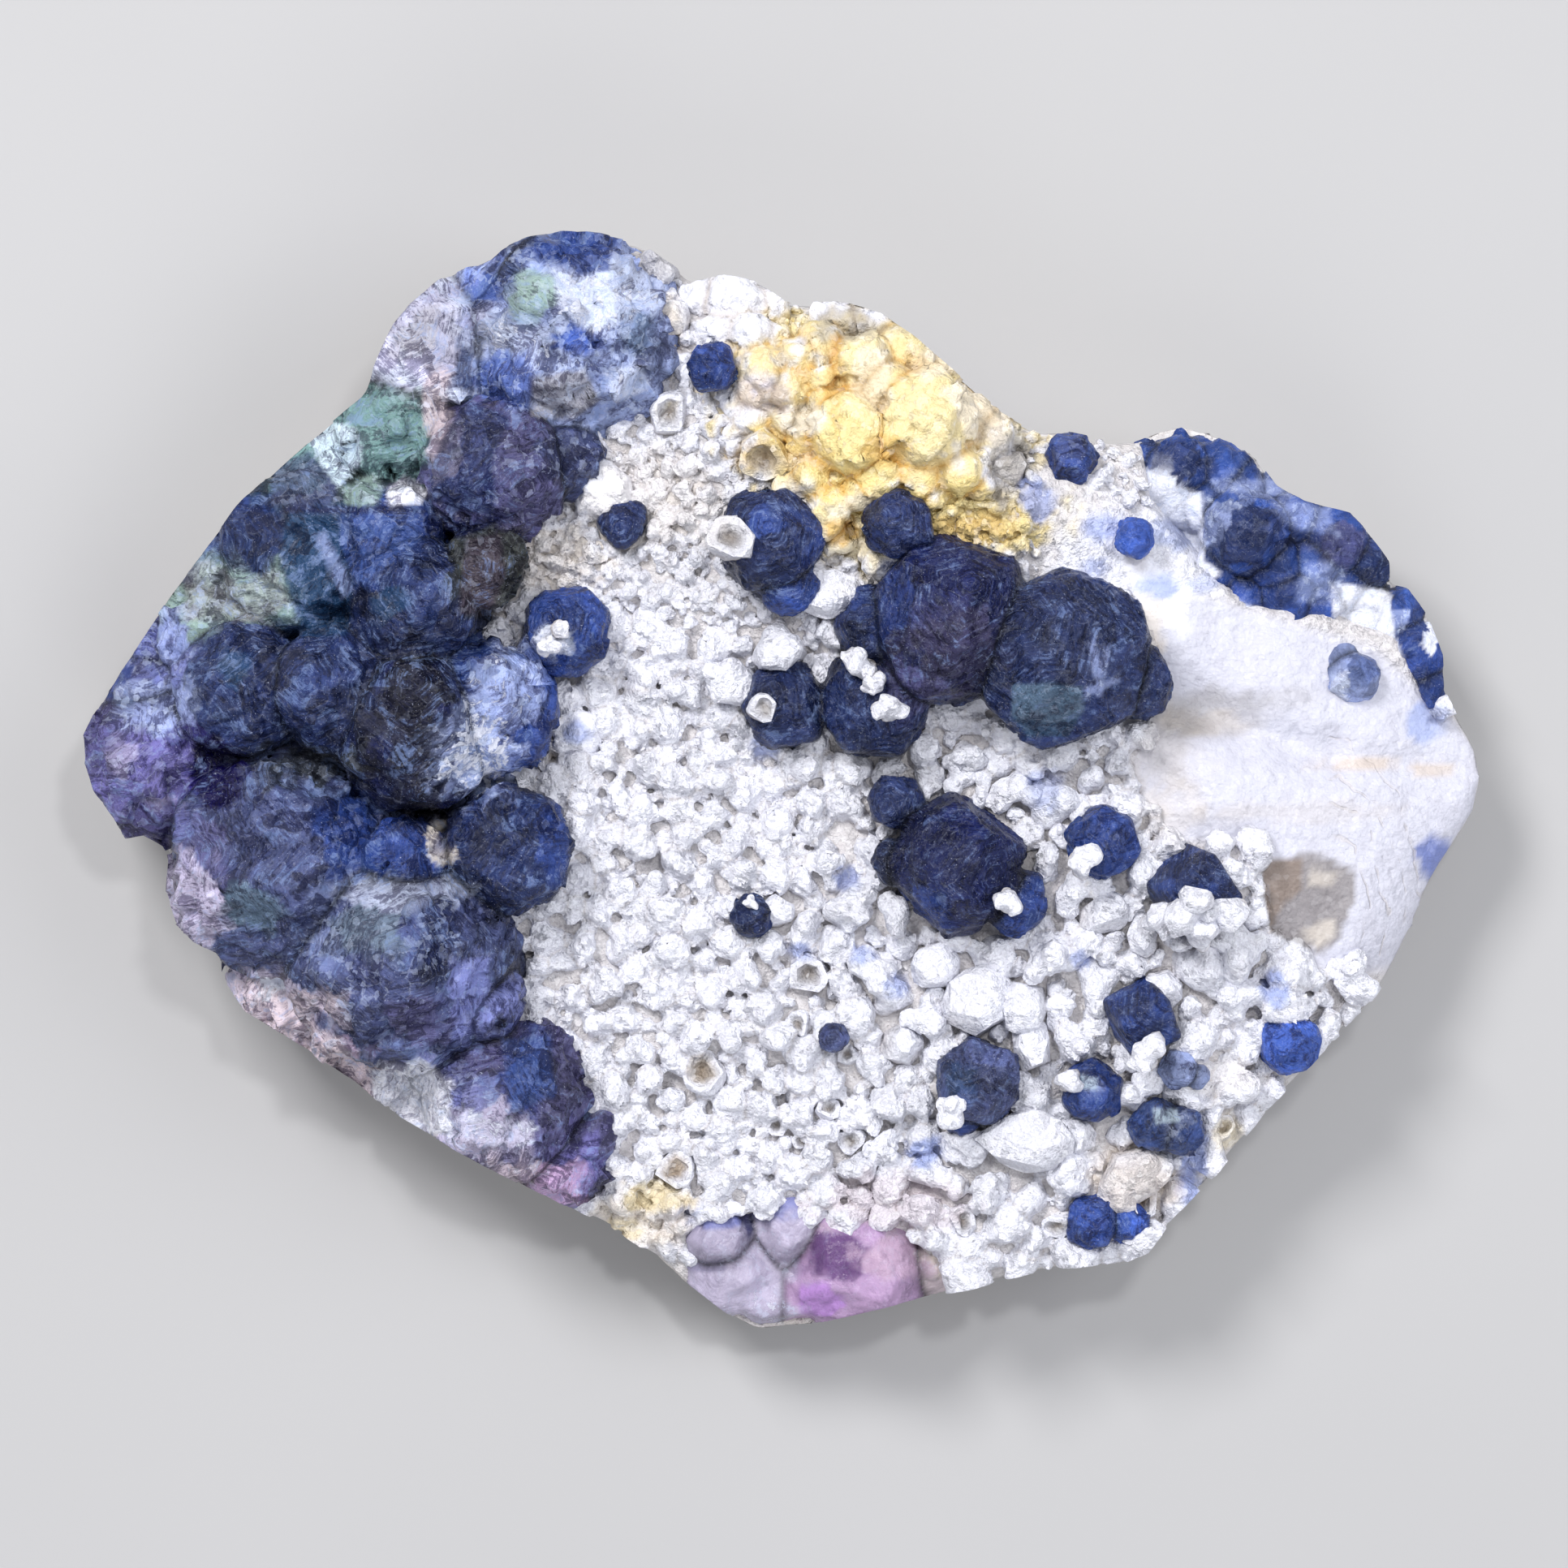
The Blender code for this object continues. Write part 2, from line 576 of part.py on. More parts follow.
def level_base(obj):
    """Shaves the base flat and sets it at height zero."""
    bm = bmesh.new()
    bm.from_mesh(obj.data)
    everything = bm.verts[:] + bm.edges[:] + bm.faces[:]
    cut = bmesh.ops.bisect_plane(
        bm, geom=everything, plane_co=(0, 0, BASE_SHAVING * MM), plane_no=(0, 0, -1), clear_outer=True
    )["geom_cut"]
    rim = [item for item in cut if isinstance(item, bmesh.types.BMEdge)]
    bmesh.ops.contextual_create(bm, geom=rim)
    bmesh.ops.translate(bm, verts=bm.verts, vec=(0, 0, -BASE_SHAVING * MM))
    bmesh.ops.recalc_face_normals(bm, faces=bm.faces)
    bm.to_mesh(obj.data)
    bm.free()
    rest_flat(obj)


def rest_flat(obj):
    """Sets every corner of the base at height zero."""
    for vert in obj.data.vertices:
        if vert.co.z < FLAT_WITHIN * MM:
            vert.co.z = 0.0


def shade(obj):
    """Shades the rounded solids smooth."""
    for face in obj.data.polygons:
        face.use_smooth = True


def growth_shape(growth, collection, gap=0.0):
    """One crystal, or the balls of one cluster joined in one solid."""
    balls = [faceted_ball(b, f"{growth.name}_{i}", collection, gap) for i, b in enumerate(growth.balls)]
    return fused(balls, growth.name, collection)


def main():
    clear_scene()
    parts = new_collection("botryoidal_fluorite")
    sockets = new_collection("sockets")
    finishes = {name: new_material(name) for name in COLOURS}

    stone = matrix_stone(parts)
    crystals = []
    for crust in CRUSTS:
        cutter(crust_shape(crust, sockets, SOCKET_GAP)).name = f"{crust.name}_socket"
        solid = crust_shape(crust, parts)
        trim(solid, prism(OUTLINE, STRAIGHT_BLOCK, "straight_block", sockets), "INTERSECT")
        lighten(solid, CRUST_SHARE)
        crystals.append((solid, crust.colour))
    for growth in GROWTHS:
        cutter(growth_shape(growth, sockets, SOCKET_GAP)).name = f"{growth.name}_socket"
        crystals.append((growth_shape(growth, parts), growth.colour))
    corners = []
    for cube in CUBES:
        cutter(cube_corner(cube, f"{cube.name}_socket", sockets, SOCKET_GAP))
        corners.append((cube_corner(cube, cube.name, parts), "blue"))
    combine(stone, "DIFFERENCE", sockets)
    biggest_piece(stone)
    lighten(stone, SOCKETED_SHARE)
    rest_flat(stone)
    rounded = [(stone, "white"), *crystals]
    for obj, _ in rounded:
        shade(obj)
    for obj, colour in [*rounded, *corners]:
        obj.data.materials.clear()
        obj.data.materials.append(finishes[colour])


main()
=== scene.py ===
"""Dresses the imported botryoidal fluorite: its quartz druse and fluorite growths, the camera and the light."""

import logging
import math
import random
from dataclasses import dataclass, field
from enum import Enum

import bmesh
import bpy
import numpy as np
from mathutils import Euler, Matrix, Vector, noise
from mathutils.kdtree import KDTree


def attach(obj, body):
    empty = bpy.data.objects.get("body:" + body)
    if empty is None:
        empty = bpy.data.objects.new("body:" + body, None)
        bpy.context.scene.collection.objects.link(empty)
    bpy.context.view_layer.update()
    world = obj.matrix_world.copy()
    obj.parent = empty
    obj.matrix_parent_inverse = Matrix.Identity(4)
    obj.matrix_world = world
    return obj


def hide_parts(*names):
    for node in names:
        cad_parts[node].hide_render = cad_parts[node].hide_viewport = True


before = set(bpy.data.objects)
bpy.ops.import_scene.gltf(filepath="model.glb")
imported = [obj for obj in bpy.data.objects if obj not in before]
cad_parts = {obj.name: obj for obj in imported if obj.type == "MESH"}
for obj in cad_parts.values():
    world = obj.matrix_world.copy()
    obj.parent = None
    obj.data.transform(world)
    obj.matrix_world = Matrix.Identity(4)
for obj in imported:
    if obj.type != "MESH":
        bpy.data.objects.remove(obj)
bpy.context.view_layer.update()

LOG = logging.getLogger("fluorite")
MM = 0.001

# The picture of the top is 1932 pixels square, 20 of them to a millimetre, with the origin in its middle
PICTURE_MIDDLE = 966.0
PIXELS_PER_MM = 20.0

# Outline of the specimen from above, clockwise from its left tip, in millimetres
OUTLINE = [
    (-43.3, 3.0), (-42.7, 4.3), (-40.8, 7.3), (-38.0, 11.3), (-35.2, 15.0), (-33.3, 17.4), (-30.7, 19.7),
    (-28.3, 21.8), (-25.7, 24.0), (-25.2, 25.6), (-24.0, 28.2), (-23.0, 29.4), (-21.3, 31.0), (-19.5, 31.8),
    (-18.3, 31.9), (-17.3, 32.9), (-15.8, 33.6), (-13.8, 34.0), (-11.3, 33.9), (-8.8, 33.3), (-6.8, 32.0),
    (-5.4, 31.0), (-3.8, 31.3), (-1.8, 31.0), (0.1, 29.7), (3.7, 29.6), (6.0, 28.9), (8.2, 27.3),
    (10.7, 25.2), (13.2, 23.0), (15.5, 21.8), (17.2, 21.8), (19.0, 21.3), (21.7, 21.2), (23.2, 21.8),
    (25.0, 22.2), (26.7, 21.8), (29.2, 20.5), (30.5, 18.5), (32.2, 17.5), (35.0, 16.8), (36.2, 15.5),
    (37.5, 13.8), (37.6, 12.5), (38.7, 12.2), (40.0, 10.5), (40.9, 8.0), (41.0, 5.8), (41.7, 4.3),
    (43.0, 2.0), (43.3, 0.3), (42.8, -1.7), (41.2, -4.2), (40.0, -6.2), (39.0, -9.0), (37.5, -11.7),
    (36.2, -13.7), (32.7, -17.2), (29.7, -20.5), (26.7, -24.2), (24.2, -26.7), (22.5, -29.0), (21.2, -29.6),
    (16.7, -30.0), (11.7, -31.2), (6.7, -32.3), (1.7, -33.6), (-1.6, -34.0), (-3.1, -33.2), (-5.8, -31.2),
    (-7.8, -29.5), (-10.8, -27.5), (-15.3, -25.2), (-20.3, -22.5), (-24.8, -20.0), (-26.3, -18.5),
    (-29.8, -16.2), (-33.3, -14.0), (-34.7, -12.2), (-34.7, -10.5), (-36.3, -9.7), (-37.6, -8.5),
    (-38.2, -6.7), (-38.1, -4.7), (-38.8, -3.0), (-40.8, -3.4), (-41.3, -2.2), (-42.6, -0.5), (-43.2, 1.3),
]
# Where the fluorite crusts and the purple mass cover the quartz
LEFT_BED = [
    (-60, 40), (-10.9, 40), (-10.6, 31.8), (-8.6, 28.3), (-8.8, 25.3), (-10.3, 23.6), (-13.6, 21),
    (-13.6, 18.3), (-17, 15.3), (-17.9, 10.6), (-16.6, 7.3), (-16.8, 2.4), (-15.4, -3), (-17.3, -7.7),
    (-18.3, -10.7), (-19.8, -14.2), (-15, -17), (-13.8, -21.2), (-12.4, -25), (-12.2, -40), (-60, -40),
]
RIGHT_BED = [
    (50, 30), (50, 4.2), (39.8, 4.6), (37.8, 8.6), (33, 10.4), (28.6, 10.6), (25.2, 13.4), (22, 17.6),
    (20.8, 30),
]
PURPLE_BED = [
    (-6.2, -28.4), (-4.3, -26.9), (-0.6, -25.6), (2.2, -26.6), (7.2, -27.2), (11.2, -28.8), (11.6, -40),
    (-7.2, -40),
]
SMOOTH_FACE = [
    (16.2, 18.3), (25.7, 12), (36.7, 8.6), (41.2, 4.8), (46, 0.3), (42, -6.2), (38.6, -11.6), (35.0, -12.2),
    (31.0, -11.2), (29.3, -8.2), (28.7, -4.2), (23.7, -3.7), (21.2, 0.3), (21.7, 3.3), (22.2, 8.3),
    (20.7, 13.3),
]
# Rises and hollows of the quartz: x, y, spread and height, in millimetres
RISES = [
    (6, 24, 9, 4), (16, 17, 7, 1.6), (26, 4, 9, 2.6), (33, -6, 8, 1.8), (42, 10, 14, -4),
    (38, -16, 12, -2.5), (-5, -2, 10, -0.8), (2, -30, 10, -2.6), (-20, -30, 12, -3), (-3, 16, 8, 0.8),
    (22, -10, 6, 1.2),
]
# Heights in millimetres: the quartz before its rises, the widest level of the block, and the crusts' beds
QUARTZ_LEVEL = 11.5
WIDEST_Z = 6.5
LEFT_FLOOR = 9.0
RIGHT_FLOOR = 7.4
PURPLE_FLOOR = 6.6
# Skins stop this far inside the outline, in millimetres
RIM_GAP = 0.05
# Name of the pieces' stored values
TINT = "tint"
GROWTH = "growth"


class Tint(Enum):
    """Colours of the specimen, as they are seen (sRGB, 0 to 255)."""

    WHITE = (240, 242, 253)
    CREAM = (236, 226, 212)
    BEIGE = (196, 184, 168)
    TAN = (204, 184, 158)
    BROWN = (126, 106, 88)
    GREY = (160, 158, 162)
    SMOKE = (150, 146, 146)
    YELLOW = (238, 217, 146)
    OCHRE = (214, 172, 84)
    BLUSH = (150, 168, 226)
    NAVY = (34, 46, 88)
    BLACK_BLUE = (20, 22, 42)
    INK = (22, 30, 74)
    SLATE = (66, 74, 114)
    DUSK = (84, 82, 124)
    BLUE = (44, 66, 132)
    BRIGHT_BLUE = (62, 92, 178)
    HAZE_BLUE = (150, 164, 210)
    SNOW = (206, 214, 236)
    FACE_WHITE = (199, 200, 214)
    TEAL = (34, 64, 100)
    GREEN = (112, 146, 146)
    PALE_GREEN = (148, 172, 166)
    OLIVE = (58, 62, 62)
    UMBER = (66, 58, 70)
    FROST = (140, 154, 200)
    LILAC = (194, 186, 212)
    PURPLE = (92, 88, 144)
    DEEP_PURPLE = (34, 24, 104)
    PERIWINKLE = (122, 130, 192)
    PINK = (202, 174, 200)
    VIOLET = (186, 142, 212)
    PLUM = (96, 62, 118)
    ROSE = (216, 200, 208)
    MAUVE = (186, 156, 196)
    MID_BLUE = (60, 82, 142)
    ICE = (206, 226, 238)
    ASH = (124, 118, 118)
    SEA_GREY = (80, 102, 126)
    MIDNIGHT = (14, 10, 66)
    CRUST_BLUE = (46, 74, 146)

    def linear(self) -> np.ndarray:
        """Gives the colour as linear light, 0 to 1."""
        value = np.array(self.value) / 255.0
        return np.where(value <= 0.04045, value / 12.92, ((value + 0.055) / 1.055) ** 2.4)


@dataclass(frozen=True)
class Spot:
    """A soft patch of colour, placed by pixels of the picture of the top."""

    x: float
    y: float
    wide: float
    high: float
    tint: Tint
    strength: float = 1.0
    frost: float = 0.0

    def share(self, points: np.ndarray, ragged: np.ndarray) -> np.ndarray:
        """Gives how much of the patch lies on each point.

        Args:
            points: Places in millimetres.
            ragged: A noise value for each point, which breaks up the edge.

        Returns:
            A share from 0 to the strength for each point.
        """
        across = (points[:, 0] - to_mm(self.x, self.y)[0]) * PIXELS_PER_MM / self.wide
        along = (points[:, 1] - to_mm(self.x, self.y)[1]) * PIXELS_PER_MM / self.high
        reach = np.sqrt(across ** 2 + along ** 2) + 0.5 * ragged
        return self.strength * smooth(1.25, 0.75, reach)


@dataclass(frozen=True)
class Patch:
    """A patch of colour with straight sides, such as a cleavage face, by pixels of the picture of the top."""

    corners: tuple
    tint: Tint
    strength: float = 1.0
    frost: float = 0.0
    wobble: float = 0.12
    soft: float = 0.14

    def share(self, points: np.ndarray, ragged: np.ndarray) -> np.ndarray:
        """Gives how much of the patch lies on each point, its edge moved by a noise value for each."""
        depth = edge_distance(points, [to_mm(*corner) for corner in self.corners])[0]
        return self.strength * smooth(-self.soft, self.soft, depth - self.wobble * ragged)


def to_mm(px: float, py: float) -> tuple[float, float]:
    """Turns a pixel of the picture, from its left and top, into millimetres from its middle."""
    return (px - PICTURE_MIDDLE) / PIXELS_PER_MM, (PICTURE_MIDDLE - py) / PIXELS_PER_MM


def smooth(start: float, end: float, value: np.ndarray) -> np.ndarray:
    """Gives a soft step from 0 at start to 1 at end, for each value."""
    share = np.clip((value - start) / (end - start), 0.0, 1.0)
    return share * share * (3.0 - 2.0 * share)


def rough(points: np.ndarray, grain: float, shift: float = 0.0) -> np.ndarray:
    """Gives smooth noise from about -1 to 1 at each point, with grains of this many millimetres."""
    return np.array([noise.noise(Vector(p)) for p in (points / grain + shift).tolist()])


def edge_distance(points: np.ndarray, outline: list) -> tuple[np.ndarray, np.ndarray]:
    """Measures how far inside an outline each point lies.

    Args:
        points: Places in millimetres, of which x and y are read.
        outline: Corners of the outline.

    Returns:
        The distance to the edge, negative outside, and the nearest place on the edge.
    """
    corners = np.array(outline, dtype=float)
    run = np.roll(corners, -1, axis=0) - corners
    distance, nearest = [], []
    for part in np.array_split(points[:, :2], max(1, len(points) // 8000)):
        away = part[:, None, :] - corners[None]
        share = np.clip((away * run).sum(2) / (run ** 2).sum(1), 0.0, 1.0)
        gap = away - share[..., None] * run
        length = np.sqrt((gap ** 2).sum(2))
        closest = length.argmin(1)
        row = np.arange(len(part))
        ends = corners[None, :, 1] > part[:, 1, None]
        crossed = ends != np.roll(ends, -1, axis=1)
        level = np.where(run[:, 1] == 0, 1e-9, run[:, 1])
        meets = corners[:, 0] + (part[:, 1, None] - corners[:, 1]) * run[:, 0] / level
        inside = (crossed & (part[:, 0, None] < meets)).sum(1) % 2 == 1
        distance.append(np.where(inside, 1.0, -1.0) * length[row, closest])
        nearest.append(part - gap[row, closest])
    return np.concatenate(distance), np.concatenate(nearest)


def paint(points: np.ndarray, base: np.ndarray, spots: list, shift: float = 0.0) -> np.ndarray:
    """Lays soft patches over a base colour.

    Args:
        points: Places in millimetres.
        base: Colour and frost of each point, four values each.
        spots: The patches, the last on top.
        shift: Moves the noise that breaks up their edges.

    Returns:
        The colour and frost of each point.
    """
    ragged = rough(points, 1.6, shift) + 0.6 * rough(points, 0.6, shift + 9.0)
    for spot in spots:
        share = spot.share(points, ragged)[:, None]
        base = base * (1.0 - share) + stained(spot.tint, spot.frost)[None] * share
    return base


def keep_inside(points: np.ndarray) -> None:
    """Moves points that reach past the outline back to it."""
    inside, edge = edge_distance(points, OUTLINE)
    points[inside < RIM_GAP, :2] = edge[inside < RIM_GAP]


def any_direction(draw: random.Random) -> Vector:
    """Draws a direction, all of them as likely.

    Args:
        draw: Source of the draw.

    Returns:
        The direction, of length 1.
    """
    z, turn = draw.uniform(-1, 1), draw.uniform(0, 2 * math.pi)
    flat = math.sqrt(1 - z * z)
    return Vector((flat * math.cos(turn), flat * math.sin(turn), z))


def stained(tint: "Tint", frost: float = 0.0) -> np.ndarray:
    """Gives a tint and its frost as the four values that a vertex stores."""
    return np.append(tint.linear(), frost)


def cells(points: np.ndarray, middles: np.ndarray, bend: float = 0.0) -> np.ndarray:
    """Finds the middle that each point lies nearest to.

    Args:
        points: Places in millimetres.
        middles: Middles of the cells.
        bend: How far the borders of the cells wander, in millimetres.

    Returns:
        The number of the nearest middle for each point.
    """
    tree = KDTree(len(middles))
    for index, middle in enumerate(middles.tolist()):
        tree.insert(middle, index)
    tree.balance()
    if bend:
        points = points + bend * np.column_stack([rough(points, 0.9, shift) for shift in (1.0, 2.0, 3.0)])
    return np.array([tree.find(point)[1] for point in points.tolist()])


def broken_faces(points: np.ndarray, block: float, skin: float, tilt: float, seed: int) -> np.ndarray:
    """Breaks a skin into small tilted faces.

    Args:
        points: The skin's points, in millimetres.
        block: Size of a face.
        skin: Distance between the points.
        tilt: Slope and depth of the faces.
        seed: Seed of the faces.

    Returns:
        How far each point moves outwards.
    """
    draw = np.random.default_rng(seed)
    count = min(max(12, int(len(points) * skin ** 2 / block ** 2)), len(points))
    middles = points[draw.choice(len(points), count, replace=False)]
    nearest = cells(points, middles, 0.3)
    lean = draw.normal(size=(count, 3)) * tilt
    sunk = draw.uniform(-1.0, 1.0, count) * tilt
    return ((points - middles[nearest]) * lean[nearest]).sum(1) * 2.2 + sunk[nearest]


class Bench:
    """Modelling moves, each made with Blender's own operators."""

    @staticmethod
    def pick(*pieces: bpy.types.Object) -> None:
        """Selects only these pieces, the first of them active.

        Args:
            pieces: The pieces, or none to deselect everything.
        """
        if bpy.context.object and bpy.context.object.mode != "OBJECT":
            bpy.ops.object.mode_set(mode="OBJECT")
        bpy.ops.object.select_all(action="DESELECT")
        for piece in pieces:
            piece.select_set(True)
        if pieces:
            bpy.context.view_layer.objects.active = pieces[0]

    @staticmethod
    def settle() -> bpy.types.Object:
        """Puts the active piece's place, turn and scale into its mesh, and gives the piece."""
        bpy.ops.object.transform_apply(location=True, rotation=True, scale=True)
        return bpy.context.object

    @classmethod
    def ball(cls, centre: tuple[float, float, float], radius: float, level: int = 3) -> bpy.types.Object:
        """Adds a ball, in millimetres.

        Args:
            centre: Its centre.
            radius: Its radius.
            level: Fineness of its faces.

        Returns:
            The ball.
        """
        cls.pick()
        place = Vector(centre) * MM
        bpy.ops.mesh.primitive_ico_sphere_add(subdivisions=level, radius=radius * MM, location=place)
        return cls.settle()

    @classmethod
    def facet(cls, piece: bpy.types.Object, cuts: list[tuple[Vector, Vector]]) -> None:
        """Cuts flat faces on a piece.

        Args:
            piece: The piece.
            cuts: A point, in millimetres, and an outward direction for each face.
        """
        cls.pick(piece)
        bpy.ops.object.mode_set(mode="EDIT")
        for point, outward in cuts:
            bpy.ops.mesh.select_all(action="SELECT")
            bpy.ops.mesh.bisect(
                plane_co=point * MM, plane_no=outward, use_fill=True, clear_outer=True, threshold=1e-7,
            )
        bpy.ops.object.mode_set(mode="OBJECT")

    @classmethod
    def finish_with(cls, piece: bpy.types.Object, kind: str, **settings: object) -> None:
        """Adds a modifier with its settings to a piece and applies it.

        Args:
            piece: The piece.
            kind: The modifier's type.
            settings: Its settings by name.
        """
        cls.pick(piece)
        modifier = piece.modifiers.new(kind.lower(), kind)
        for name, value in settings.items():
            setattr(modifier, name, value)
        bpy.ops.object.modifier_apply(modifier=modifier.name)

    @classmethod
    def join(cls, pieces: list[bpy.types.Object], name: str) -> bpy.types.Object:
        """Joins pieces into one and names it.

        Args:
            pieces: The pieces.
            name: Name of the whole.

        Returns:
            The joined piece.
        """
        cls.pick(*pieces)
        if len(pieces) > 1:
            bpy.ops.object.join()
        piece = bpy.context.object
        piece.name = piece.data.name = name
        return piece

    @classmethod
    def dress(cls, piece: bpy.types.Object, finish: bpy.types.Material, crease: float | None = None) -> None:
        """Gives a piece its finish and shades it smooth.

        Args:
            piece: The piece.
            finish: Its material.
            crease: Degrees from which an edge stays sharp, or none for a piece without sharp edges.
        """
        piece.data.materials.clear()
        piece.data.materials.append(finish)
        cls.pick(piece)
        if crease is None:
            bpy.ops.object.shade_smooth()
        else:
            bpy.ops.object.shade_smooth_by_angle(angle=math.radians(crease))

    @staticmethod
    def points(piece: bpy.types.Object, what: str = "co") -> np.ndarray:
        """Reads a piece's vertices, in millimetres, or their normals.

        Args:
            piece: The piece.
            what: co for the places, normal for the outward directions.

        Returns:
            Three values for each vertex.
        """
        flat = np.empty(len(piece.data.vertices) * 3, dtype=np.float32)
        piece.data.vertices.foreach_get(what, flat)
        return flat.reshape(-1, 3).astype(float) * (1000.0 if what == "co" else 1.0)

    @staticmethod
    def place(piece: bpy.types.Object, points: np.ndarray) -> None:
        """Moves a piece's vertices to these places, in millimetres."""
        piece.data.vertices.foreach_set("co", (points * MM).astype(np.float32).ravel())
        piece.data.update()

    @staticmethod
    def stain(piece: bpy.types.Object, colours: np.ndarray, growth: np.ndarray | None = None) -> None:
        """Stores colour and frost, and the distance along the growth steps, on a piece's vertices.

        Args:
            piece: The piece.
            colours: Four values for each vertex.
            growth: Millimetres along the steps, where it has them.
        """
        layer = piece.data.color_attributes.new(TINT, "FLOAT_COLOR", "POINT")
        layer.data.foreach_set("color", colours.astype(np.float32).ravel())
        if growth is not None:
            steps = piece.data.attributes.new(GROWTH, "FLOAT", "POINT")
            steps.data.foreach_set("value", growth.astype(np.float32))


class Wire:
    """A value in a material. Python's operators on it add Math nodes."""

    def __init__(self, graph: "Graph", socket: bpy.types.NodeSocket) -> None:
        """Holds a socket of a graph."""
        self.graph, self.socket = graph, socket

    def _math(self, operation: str, *values: object) -> "Wire":
        """Adds a Math node."""
        return self.graph.node("ShaderNodeMath", {"operation": operation}, dict(enumerate(values)))

    def __add__(self, other: object) -> "Wire":
        """Adds."""
        return self._math("ADD", self, other)

    def __radd__(self, other: object) -> "Wire":
        """Adds, reflected."""
        return self._math("ADD", other, self)

    def __sub__(self, other: object) -> "Wire":
        """Subtracts."""
        return self._math("SUBTRACT", self, other)

    def __rsub__(self, other: object) -> "Wire":
        """Subtracts, reflected."""
        return self._math("SUBTRACT", other, self)

    def __mul__(self, other: object) -> "Wire":
        """Multiplies."""
        return self._math("MULTIPLY", self, other)

    def __rmul__(self, other: object) -> "Wire":
        """Multiplies, reflected."""
        return self._math("MULTIPLY", other, self)

    def sine(self) -> "Wire":
        """Takes the sine."""
        return self._math("SINE", self)

    def step(self, start: float, end: float) -> "Wire":
        """Gives a soft step from 0 at start to 1 at end."""
        return self.graph.node(
            "ShaderNodeMapRange", {"interpolation_type": "SMOOTHSTEP"},
            {0: self, 1: start, 2: end, 3: 0.0, 4: 1.0},
        )


class Graph:
    """A material's nodes."""

    def __init__(self, name: str) -> None:
        """Starts a material with its Principled shader.

        Args:
            name: The material's name.
        """
        self.material = bpy.data.materials.new(name)
        self.material.use_nodes = True
        self.tree = self.material.node_tree
        self.shader = next(n for n in self.tree.nodes if n.type == "BSDF_PRINCIPLED")
        self.place = self.node("ShaderNodeTexCoord", outlet="Object")

    def node(
        self, kind: str, settings: dict | None = None, sockets: dict | None = None, outlet: object = 0,
    ) -> Wire:
        """Adds a node.

        Args:
            kind: The node's type.
            settings: Its settings, which are set first.
            sockets: Values or wires by socket name or number.
            outlet: Name or number of the socket to give.

        Returns:
            The wire of its outlet.
        """
        made = self.tree.nodes.new(kind)
        for name, value in (settings or {}).items():
            setattr(made, name, value)
        for name, value in (sockets or {}).items():
            if isinstance(value, Wire):
                self.tree.links.new(value.socket, made.inputs[name])
            else:
                made.inputs[name].default_value = value
        return Wire(self, made.outputs[outlet])

    def read(self, attribute: str, outlet: str) -> Wire:
        """Reads an attribute of the piece."""
        return self.node("ShaderNodeAttribute", {"attribute_name": attribute}, outlet=outlet)

    def cloud(self, per_mm: float, detail: float = 2.0, rough_share: float = 0.5) -> Wire:
        """Adds noise of so many swells to a millimetre."""
        return self.node(
            "ShaderNodeTexNoise", None,
            {"Vector": self.place, "Scale": per_mm * 1000.0, "Detail": detail, "Roughness": rough_share},
        )

    def facets(self, per_mm: float, tilt: float, wander: float = 0.25) -> tuple[Wire, Wire, Wire]:
        """Adds small flat faces, each tilted its own way.

        Args:
            per_mm: Faces to a millimetre.
            tilt: Steepest slope of a face.
            wander: How far their borders wander, in millimetres.

        Returns:
            Their height in millimetres, a random value for each face, and the distance to its border.
        """
        noise_sockets = {"Vector": self.place, "Scale": per_mm * 1300.0, "Detail": 1.0}
        swirl = self.node("ShaderNodeTexNoise", None, noise_sockets, outlet="Color")
        bent = self.vector("MULTIPLY_ADD", swirl, (wander * MM * 2,) * 3, self.place)
        scale = {"Vector": bent, "Scale": per_mm * 1000.0}
        middle = self.node("ShaderNodeTexVoronoi", None, scale, "Position")
        lean = self.node("ShaderNodeTexVoronoi", None, scale, "Color")
        from_middle = self.vector("SUBTRACT", bent, middle)
        slope = self.dot(from_middle, self.vector("SUBTRACT", lean, (0.5, 0.5, 0.5)))
        seam = self.node("ShaderNodeTexVoronoi", {"feature": "DISTANCE_TO_EDGE"}, scale)
        return slope * (2000.0 * tilt), self.dot(lean, (1.0, 0.0, 0.0)), seam

    def dot(self, first: object, second: object) -> Wire:
        """Gives the dot product of two vectors."""
        return self.node("ShaderNodeVectorMath", {"operation": "DOT_PRODUCT"}, {0: first, 1: second}, "Value")

    def vector(self, operation: str, *values: object) -> Wire:
        """Adds a Vector Math node."""
        return self.node("ShaderNodeVectorMath", {"operation": operation}, dict(enumerate(values)))

    def blend(self, share: object, first: object, second: object, kind: str = "MIX") -> Wire:
        """Mixes two colours."""
        return self.node(
            "ShaderNodeMix", {"data_type": "RGBA", "blend_type": kind},
            {0: share, 6: first, 7: second}, outlet=2,
        )

    def fill(self, **values: object) -> None:
        """Sets the shader's sockets, underscores standing for spaces.

        Args:
            values: Values or wires by the socket's name.
        """
        for name, value in values.items():
            socket = self.shader.inputs[name.replace("_", " ")]
            if isinstance(value, Wire):
                self.tree.links.new(value.socket, socket)
            else:
                socket.default_value = value

    def bump(self, height: Wire, depth: float, strength: float) -> Wire:
        """Adds a Bump node, with its depth in millimetres."""
        return self.node(
            "ShaderNodeBump", None, {"Height": height, "Distance": depth * MM, "Strength": strength},
            outlet="Normal",
        )


